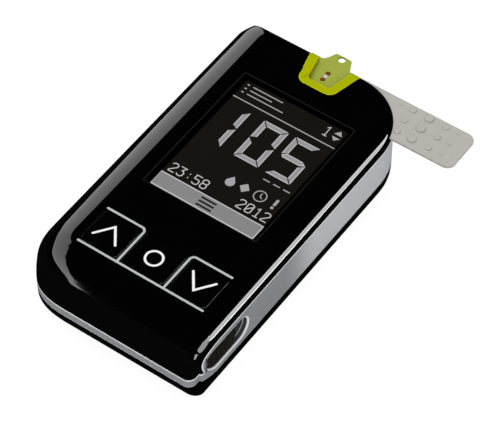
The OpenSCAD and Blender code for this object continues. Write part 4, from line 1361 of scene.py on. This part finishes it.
@dataclass
class TestStrip:
    """Lime head with the sample tip, and the pale grip with its raised dots.

    Attributes:
        left: left end of the strip.
        right: right end.
        front: front edge.
        back: back edge.
        z0: height of its underside.
        z1: height of its top.
        head_right: where head and grip meet.
        corner: radius of the grip's corners.
        disc_x: middle of the electrode discs.
        discs: distances of the discs from the back edge.
        columns: distance of each column of dots from the right end, with its diameter.
        rows: distances of the rows of dots from the back edge.
        dome: radius and height of each ring of a dot of diameter 1.
    """

    left: float = -5.9
    right: float = 42.8
    front: float = 34.75
    back: float = 47.05
    z0: float = 16.8
    z1: float = 17.5
    head_right: float = 8.0
    corner: float = 2.3
    disc_x: float = 1.4
    discs: Pair = (3.6, 5.9)
    columns: tuple[Pair, ...] = ((21.1, 1.0), (17.5, 1.9), (12.8, 2.6), (8.0, 1.9), (4.55, 1.0))
    rows: Point = (1.65, 5.55, 9.55)
    dome: tuple[Pair, ...] = ((0.5, -0.05), (0.5, 0.0), (0.475, 0.08), (0.43, 0.14), (0.37, 0.17), (0.3, 0.17),
                              (0.2, 0.16))

    def tip(self) -> Outline:
        """Give the head's outline with the leaning tip, anticlockwise."""
        flank = [(-2.5, 0.0), (-1.88, 0.65), (-1.5, 1.3), (-1.24, 1.85), (-0.95, 2.6), (-0.6, 3.2), (-0.3, 3.3)]
        return ([(self.left, self.front), (self.head_right, self.front), (self.head_right, self.back),
                 (5.6, self.back), (5.35, self.back + 0.2), (4.0, self.back + 3.05), (3.6, self.back + 3.3)]
                + [(x, self.back + y) for x, y in flank[::-1]] + [(self.left, self.back)])

    def build(self) -> None:
        """Build the head, discs, track, grip and dots."""
        head = Mould.plate("strip_head_film", self.tip(), self.z0, self.z1, top=0.05, bottom=0.05)
        hole = Mould.circle(1.0, 1.62, self.back + 2.25, 36)
        tools = [Mould.prism("sample_hole", hole, self.z0 - 1, self.z1 + 1)]
        ys = [self.back - far for far in self.discs]
        tools += [Mould.prism("disc_seat", Mould.circle(0.7, self.disc_x, y), self.z1 - 0.3, self.z1 + 1)
                  for y in ys]
        Mould.carve(head, tools)
        Mould.done(head, Look.STRIP_HEAD, "test_strip", "strip_lime", ["strip_head"])
        disc = Mould.plate("disc_model", Mould.circle(0.69, 0, 0, 32), -0.28, 0.02, top=0.08)
        discs = spread("electrode_discs", [(self.disc_x, y, self.z1) for y in ys], [1.0, 1.0], disc, Look.DISC)
        Mould.done(discs, Look.DISC, "test_strip", "electrode_brown", ["strip_electrodes"])
        track = Mould.box("pale_track", (self.disc_x - 0.42, ys[1] + 0.4, self.z1 - 0.02),
                          (self.disc_x + 0.42, ys[0] - 0.4, self.z1 + 0.012))
        Mould.done(track, Look.PALE, "test_strip", "strip_grey")
        self.grip()

    def grip(self) -> None:
        """Build the grip and spread its dots."""
        mid_x, mid_y = (self.right + self.head_right) / 2, (self.front + self.back) / 2
        w, l = self.right - self.head_right, self.back - self.front
        rounded = Mould.rounded(w, l, self.corner, mid_x, mid_y, 12, ((1, -1, -90), (1, 1, 0)))
        outline = rounded + [(self.head_right, self.back), (self.head_right, self.front)]
        film = Mould.plate("strip_grip_film", outline, self.z0, self.z1, top=0.12, bottom=0.08)
        Mould.done(film, Look.STRIP, "test_strip", "strip_grey", ["strip_handle"])
        places, sizes = [], []
        for i, row in enumerate(self.rows):
            for j, (col, d) in enumerate(self.columns):
                if j or not i:
                    shift = 0.4 if (i, j) == (2, 1) else 0.0
                    places.append((self.right - col + shift, self.back - row, self.z1))
                    sizes.append(d)
        rings = [[(x, y, height) for x, y in Mould.circle(radius, 0, 0, 32)] for radius, height in self.dome]
        dot = Mould.loft("dot_model", rings)
        dots = spread("grip_dots", places, sizes, dot, Look.STRIP)
        Mould.done(dots, Look.STRIP, "test_strip", "strip_grey", angle=60.0)


# ---------------------------------------------------------------- ejector and underside


@dataclass
class ThumbSlider:
    """The crowned cap under the thumb with its grip ribs.

    Attributes:
        length: length of the cap.
        height: height of the cap.
        y: its middle.
        z: its middle.
        x0: its inner face.
        top: its outer face.
        crown: radius of the outer face along Y.
        edge: radius of its rounded edge.
        ribs: number of grip ribs.
        rib_pitch: distance between them.
    """

    length: float = 11.7
    height: float = 6.7
    y: float = -35.6
    z: float = 10.1
    x0: float = 24.2
    top: float = 26.1
    crown: float = 32.0
    edge: float = 0.5
    ribs: int = 5
    rib_pitch: float = 1.9

    def build(self) -> None:
        """Build the cap and spread its ribs."""
        ring = Mould.rounded(self.length, self.height, self.height / 2 - 0.01, 0, 0, 20)
        rings = []
        for k in range(7):
            a = math.pi / 2 * k / 6
            inset, drop = self.edge * (1 - math.cos(a)), self.edge * (1 - math.sin(a))
            rings.append([(self.top - drop - p * p / 2 / self.crown, self.y + p, self.z + q)
                          for p, q in Mould.grown(ring, -inset)])
        rings.insert(0, [(self.x0, self.y + p, self.z + q) for p, q in ring])
        cap = Mould.loft("thumb_cap", rings)
        Mould.done(cap, Look.RUBBER, "ejector", "grip_rubber", ["ejector_slider"])
        bar = Mould.rounded(0.72, self.height - 2.2, 0.34, 0, 0, 6)
        model = Mould.loft("rib_model", [[(x, p, q) for p, q in Mould.grown(bar, -i)]
                                         for x, i in ((-0.4, 0.0), (0.08, 0.0), (0.15, 0.06), (0.18, 0.16))])
        places = []
        for k in range(self.ribs):
            d = (k - (self.ribs - 1) / 2) * self.rib_pitch
            places.append((self.top - d * d / 2 / self.crown, self.y + d, self.z))
        ribs = spread("thumb_ribs", places, [1.0] * self.ribs, model, Look.RUBBER)
        Mould.done(ribs, Look.RUBBER, "ejector", "grip_rubber")


@dataclass
class Underside:
    """Battery door and screws seen from below."""

    SCREWS = ((-20.5, -36.45), (14.0, -38.45), (-20.5, 38.45), (20.9, 20.0))
    y: float = -6.325

    def build(self) -> None:
        """Build the door with its thumb grooves, and the four screws."""
        outline = Mould.rounded(24.2, 49.75, 0.9, 0, self.y)
        door = Mould.plate("battery_door_plate", outline, 0.15, 1.15, top=0.05, bottom=0.25)
        grooves = [Mould.box("groove", (-5, -27.5 + 1.6 * k, -1), (5, -26.8 + 1.6 * k, 0.5)) for k in range(3)]
        Mould.carve(door, grooves)
        ribs = [Mould.box("rib", (s * 5.6 - 0.6, -24.5, 1.0), (s * 5.6 + 0.6, 11.85, 1.75)) for s in (-1, 1)]
        Mould.carve(door, ribs, "UNION")
        Mould.done(door, Look.CASE, "door", "gloss_black", ["battery_door"])
        head = Mould.plate("screw_model", Mould.circle(1.6, 0, 0, 40), 0.0, 1.0, bottom=0.35)
        shaft = Mould.prism("shaft", Mould.circle(0.8, 0, 0, 24), 0.9, 15.7)
        Mould.carve(head, [shaft], "UNION")
        cross = [Mould.box("slot", (-w, -l, -1), (w, l, 0.5)) for w, l in ((1.0, 0.2), (0.2, 1.0))]
        Mould.carve(head, cross)
        places = [(x, y, 0.5) for x, y in self.SCREWS]
        screws = spread("case_screw_set", places, [1.0] * 4, head, Look.STEEL)
        Mould.done(screws, Look.STEEL, "housing", "spring_steel", ["case_screws"])


class Inside:
    """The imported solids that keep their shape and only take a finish."""

    LOOKS = {
        "lcd_panel": Look.PANEL, "lcd_frame": Look.WHITE, "backlight": Look.WHITE, "lcd_connector": Look.GUIDE,
        "key_domes": Look.STEEL, "main_board": Look.BOARD, "controller_chip": Look.DARK, "buzzer": Look.DARK,
        "strip_guide": Look.DARK, "strip_contacts": Look.GOLD, "slider_shoe": Look.GUIDE,
        "slider_bed": Look.GUIDE, "ejector_rod": Look.WHITE, "strip_pusher": Look.WHITE,
        "return_spring": Look.STEEL, "battery_left": Look.CELL, "battery_right": Look.CELL,
        "battery_springs": Look.STEEL, "battery_plates": Look.STEEL,
    }

    def build(self) -> None:
        """Assign the finishes."""
        for node, look in self.LOOKS.items():
            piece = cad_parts[node]
            piece.data.materials.clear()
            piece.data.materials.append(look.material())
            log.info("%s: %s", node, look.value.name)


# ---------------------------------------------------------------- studio


# studio cards: azimuth with the lowest and highest elevation, and elevation with the mirrored tone
LEFT_EDGES = ((126, 22, 42), (127, 0, 43.5), (128.5, 0, 45.5), (130, 0, 47.3), (132, 0, 48.6), (134, 0, 49.3),
              (136, 0, 50.2), (138, 0, 51.5), (140, 0, 53.3), (144, 0, 54), (147, 0, 54.5), (149.5, 3, 55),
              (151, 8, 55.2), (152.5, 17, 55.4), (154.5, 20.5, 55.5), (156.5, 24, 55.7), (160, 26.5, 56.2),
              (164.5, 28.5, 57.3), (168.5, 30.5, 58), (173, 32.3, 58), (180, 33.3, 57.7), (188, 33, 57.2),
              (194, 32, 56.3), (200, 31, 55), (205, 29.8, 53), (210, 29.3, 51.3), (216, 28.5, 49.5),
              (220, 27.8, 48), (225, 27, 44.5), (229, 26.5, 41.5), (234, 25, 38), (238, 22.5, 33.5),
              (241, 20.5, 29.5), (242.5, 18.5, 27), (244, 16, 23), (245, 12.5, 17.5), (246, 10, 12))
LEFT_TONES = ((0, 150), (10, 128), (30, 106), (58, 84))
RIGHT_EDGES = ((8, 0, 60), (12, 0, 62), (17, 0, 60), (22, 0, 50), (27, 0, 45), (30, 0, 43), (36, 7, 43),
               (40, 7.5, 41.5), (42, 7.5, 40.5), (44, 8, 38.5), (46, 9, 35), (48, 10, 31), (52, 12, 24),
               (55, 17, 21))
RIGHT_TONES = ((0, 300), (3, 285), (7, 232), (18, 174), (34, 210), (44, 150), (66, 190))
FRONT_EDGES = ((250, 53, 79), (251.5, 47, 82), (254.5, 42, 84), (258, 28, 85), (260, 25, 85), (268, 16, 85),
               (273, 11, 85), (277, 1, 85), (300, 0, 85), (330, 0, 85), (350, 0, 80), (372, 0, 66))
FRONT_TONES = ((0, 190), (10, 150), (60, 148), (85, 200))


@dataclass
class SoftCard:
    """A glowing studio card of any outline, which shows only in polished surfaces.

    Attributes:
        name: the card's name.
        edges: azimuth, lowest and highest elevation of its outline, in degrees.
        tones: elevation and the tone that the polished black throws back there.
        rim: tone added along the lower outline.
        slope: tone added per degree of azimuth past slope_start.
        reach: distance from the meter in metres.
        height: height of its middle in millimetres.
        rows: points up each column of the grid.
        rim_width: width of the rim in degrees.
        slope_start: azimuth where the slope begins.
        slope_zone: elevations between which it holds.
    """

    name: str
    edges: Sequence[Point]
    tones: Sequence[tuple[float, int]]
    rim: float = 0.0
    slope: float = 0.0
    reach: float = 2.0
    height: float = 15.0
    rows: int = 40
    rim_width: float = 1.8
    slope_start: float = 34.0
    slope_zone: Pair = (10.0, 32.0)

    @staticmethod
    def between(table: Sequence[Sequence[float]], at: float, column: int = 1) -> float:
        """Read one column of a table at a value of its first column, on straight lines."""
        if at <= table[0][0]:
            return table[0][column]
        for low, high in zip(table, table[1:]):
            if at <= high[0]:
                t = (at - low[0]) / (high[0] - low[0])
                return low[column] + t * (high[column] - low[column])
        return table[-1][column]

    def tone_at(self, azimuth: float, elevation: float) -> float:
        """Give the radiance at one direction, so high that the black's faint mirror shows the tone."""
        value = self.between(self.tones, elevation)
        if self.rim:
            squeeze = math.cos(math.radians(elevation))
            near = min(math.hypot((azimuth - a) * squeeze, elevation - self.between(self.edges, a))
                       for a in (147 + 0.5 * k for k in range(177)))
            value += self.rim * max(0.0, 1 - near / self.rim_width)
        if self.slope_zone[0] < elevation < self.slope_zone[1]:
            value += self.slope * max(0.0, azimuth - self.slope_start)
        return grey(round(value)) / Look.CASE.value.sheen

    def build(self) -> None:
        """Build the card as a fine grid and light it by a point attribute."""
        first, last, rows = self.edges[0][0], self.edges[-1][0], self.rows
        columns = int((last - first) * 1.5) + 1
        far = self.reach / MM
        points, glow, faces = [], [], []
        for j in range(columns):
            azimuth = first + (last - first) * j / (columns - 1)
            low, high = self.between(self.edges, azimuth), self.between(self.edges, azimuth, 2)
            for k in range(rows):
                elevation = low + (high - low) * k / (rows - 1)
                a, e = math.radians(azimuth), math.radians(elevation)
                points.append((far * math.cos(e) * math.cos(a), far * math.cos(e) * math.sin(a),
                               self.height + far * math.sin(e)))
                glow.append(self.tone_at(azimuth, elevation))
        for start in range(0, (columns - 1) * rows, rows):
            faces += [[k, k + 1, k + rows + 1, k + rows] for k in range(start, start + rows - 1)]
        card = Mould.piece(self.name, points, faces)
        lit = card.data.attributes.new("glow", "FLOAT", "POINT")
        for i, value in enumerate(glow):
            lit.data[i].value = value
        material, net = fresh_material(self.name + "_light")
        read = net.node("ShaderNodeAttribute", {"attribute_name": "glow"})
        light = net.node("ShaderNodeEmission", values={"Color": read.outputs["Color"], "Strength": 1.0})
        net.node("ShaderNodeOutputMaterial", values={"Surface": light.outputs[0]})
        card.data.materials.append(material)
        card.visible_camera = card.visible_diffuse = card.visible_transmission = False
        card.visible_shadow = card.visible_volume_scatter = False


@dataclass
class Studio:
    """Pale sweep, soft lamps and the camera.

    Attributes:
        eye: the camera's place in millimetres.
        right: its direction to the right.
        up: its direction upwards.
        back: its direction away from the picture.
        lens: focal length in millimetres.
        reach: distance of the lamps in metres.
        floor_shade: how far the floor is darkened where it is looked at.
        floor_glow: its own light there.
    """

    eye: Point = (227.779, -309.646, 481.186)
    right: Point = (0.816037, 0.578000, 0.0)
    up: Point = (-0.451215, 0.637038, 0.624970)
    back: Point = (0.361233, -0.509999, 0.780649)
    lens: float = 181.1
    reach: float = 2.0
    floor_shade: float = 0.6
    floor_glow: float = 0.9

    def camera(self) -> None:
        """Place the camera at the photograph's angle."""
        data = bpy.data.cameras.new("camera")
        data.lens = self.lens
        data.sensor_width = 36.0
        data.clip_start, data.clip_end = 0.01, 20.0
        camera = bpy.data.objects.new("camera", data)
        bpy.context.scene.collection.objects.link(camera)
        rows = [[self.right[i], self.up[i], self.back[i], self.eye[i] * MM] for i in range(3)]
        camera.matrix_world = Matrix(rows + [[0, 0, 0, 1]])
        bpy.context.scene.camera = camera

    def lamp(self, name: str, azimuth: float, height: float, wide: float, tall: float, radiance: float) -> None:
        """Hang a soft panel that faces the meter and stays out of its reflections.

        Args:
            name: the lamp's name.
            azimuth: degrees from +X towards +Y.
            height: degrees above the floor.
            wide: width in degrees, as the meter sees it.
            tall: height in degrees.
            radiance: brightness of its face.
        """
        data = bpy.data.lights.new(name, "AREA")
        data.shape = "RECTANGLE"
        data.size = 2 * self.reach * math.tan(math.radians(wide) / 2)
        data.size_y = 2 * self.reach * math.tan(math.radians(tall) / 2)
        data.energy = radiance * math.pi * data.size * data.size_y
        lamp = bpy.data.objects.new(name, data)
        bpy.context.scene.collection.objects.link(lamp)
        lamp.visible_glossy = False
        a, h = math.radians(azimuth), math.radians(height)
        way = Vector((math.cos(h) * math.cos(a), math.cos(h) * math.sin(a), math.sin(h)))
        lamp.location = way * self.reach + Vector((0, 0, 0.015))
        lamp.rotation_euler = way.to_track_quat("Z", "Y").to_euler()

    def sweep(self) -> None:
        """Build the floor that rises into a low round wall."""
        profile = [(0.0, -0.3), (300.0, -0.3), (2400.0, -0.3)]
        turns = [math.radians(a) for a in range(6, 91, 6)]
        profile += [(2400 + 250 * math.sin(a), 249.7 - 250 * math.cos(a)) for a in turns]
        profile.append((2650.0, 620.0))
        n, points, faces = 96, [], []
        for r, z in profile[1:]:
            points += [(x, y, z) for x, y in Mould.circle(r, 0, 0, n)]
        faces.append(list(range(n)))
        for j in range(len(profile) - 2):
            a, b = j * n, (j + 1) * n
            faces += [[a + k, b + k, b + (k + 1) % n, a + (k + 1) % n] for k in range(n)]
        floor = Mould.piece("studio_sweep", points, faces)
        floor.data.shade_smooth()
        material, net = fresh_material("studio_white")
        path = net.node("ShaderNodeLightPath")
        seen = net.number(path, "Is Camera Ray").at_least(net.number(path, "Is Glossy Ray"))
        seen = seen.at_least(net.number(path, "Is Transmission Ray"))
        matt = net.node("ShaderNodeBsdfDiffuse", values={"Color": 0.82 - seen * self.floor_shade})
        glow = net.node("ShaderNodeEmission", values={
            "Color": (1.0, 1.0, 1.0), "Strength": seen * self.floor_glow})
        both = net.node("ShaderNodeAddShader", values={0: matt.outputs[0], 1: glow.outputs[0]})
        net.node("ShaderNodeOutputMaterial", values={"Surface": both.outputs[0]})
        floor.data.materials.append(material)

    def world(self) -> None:
        """Fill the room with a dim even light."""
        world = bpy.data.worlds.new("room")
        world.use_nodes = True
        bpy.context.scene.world = world
        net = Net(world.node_tree)
        room = net.node("ShaderNodeBackground", values={"Color": (1.0, 1.0, 1.0), "Strength": 0.25})
        net.node("ShaderNodeOutputWorld", values={"Surface": room.outputs[0]})

    def build(self) -> None:
        """Set the stage."""
        self.camera()
        self.sweep()
        self.world()
        self.lamp("soft_key", 140.0, 55.0, 34.0, 34.0, 5.2)
        self.lamp("front_fill", -50.0, 35.0, 40.0, 30.0, 3.2)
        SoftCard("left_card", LEFT_EDGES, LEFT_TONES, rim=34.0).build()
        SoftCard("right_card", RIGHT_EDGES, RIGHT_TONES, slope=2.6).build()
        SoftCard("front_card", FRONT_EDGES, FRONT_TONES).build()
        bpy.context.scene.view_settings.view_transform = "Standard"


def main() -> None:
    """Build every sub-assembly, then set the stage."""
    logging.basicConfig(level=logging.INFO, format="%(name)s %(message)s")
    shells = Shells()
    shells.top()
    shells.middle()
    shells.bottom()
    for kind in (Keypad, DisplayPicture, StripPort, TestStrip, ThumbSlider, Underside, Inside, Studio):
        kind().build()
        log.info("%s ready", kind.__name__)


if __name__ == "__main__":
    main()
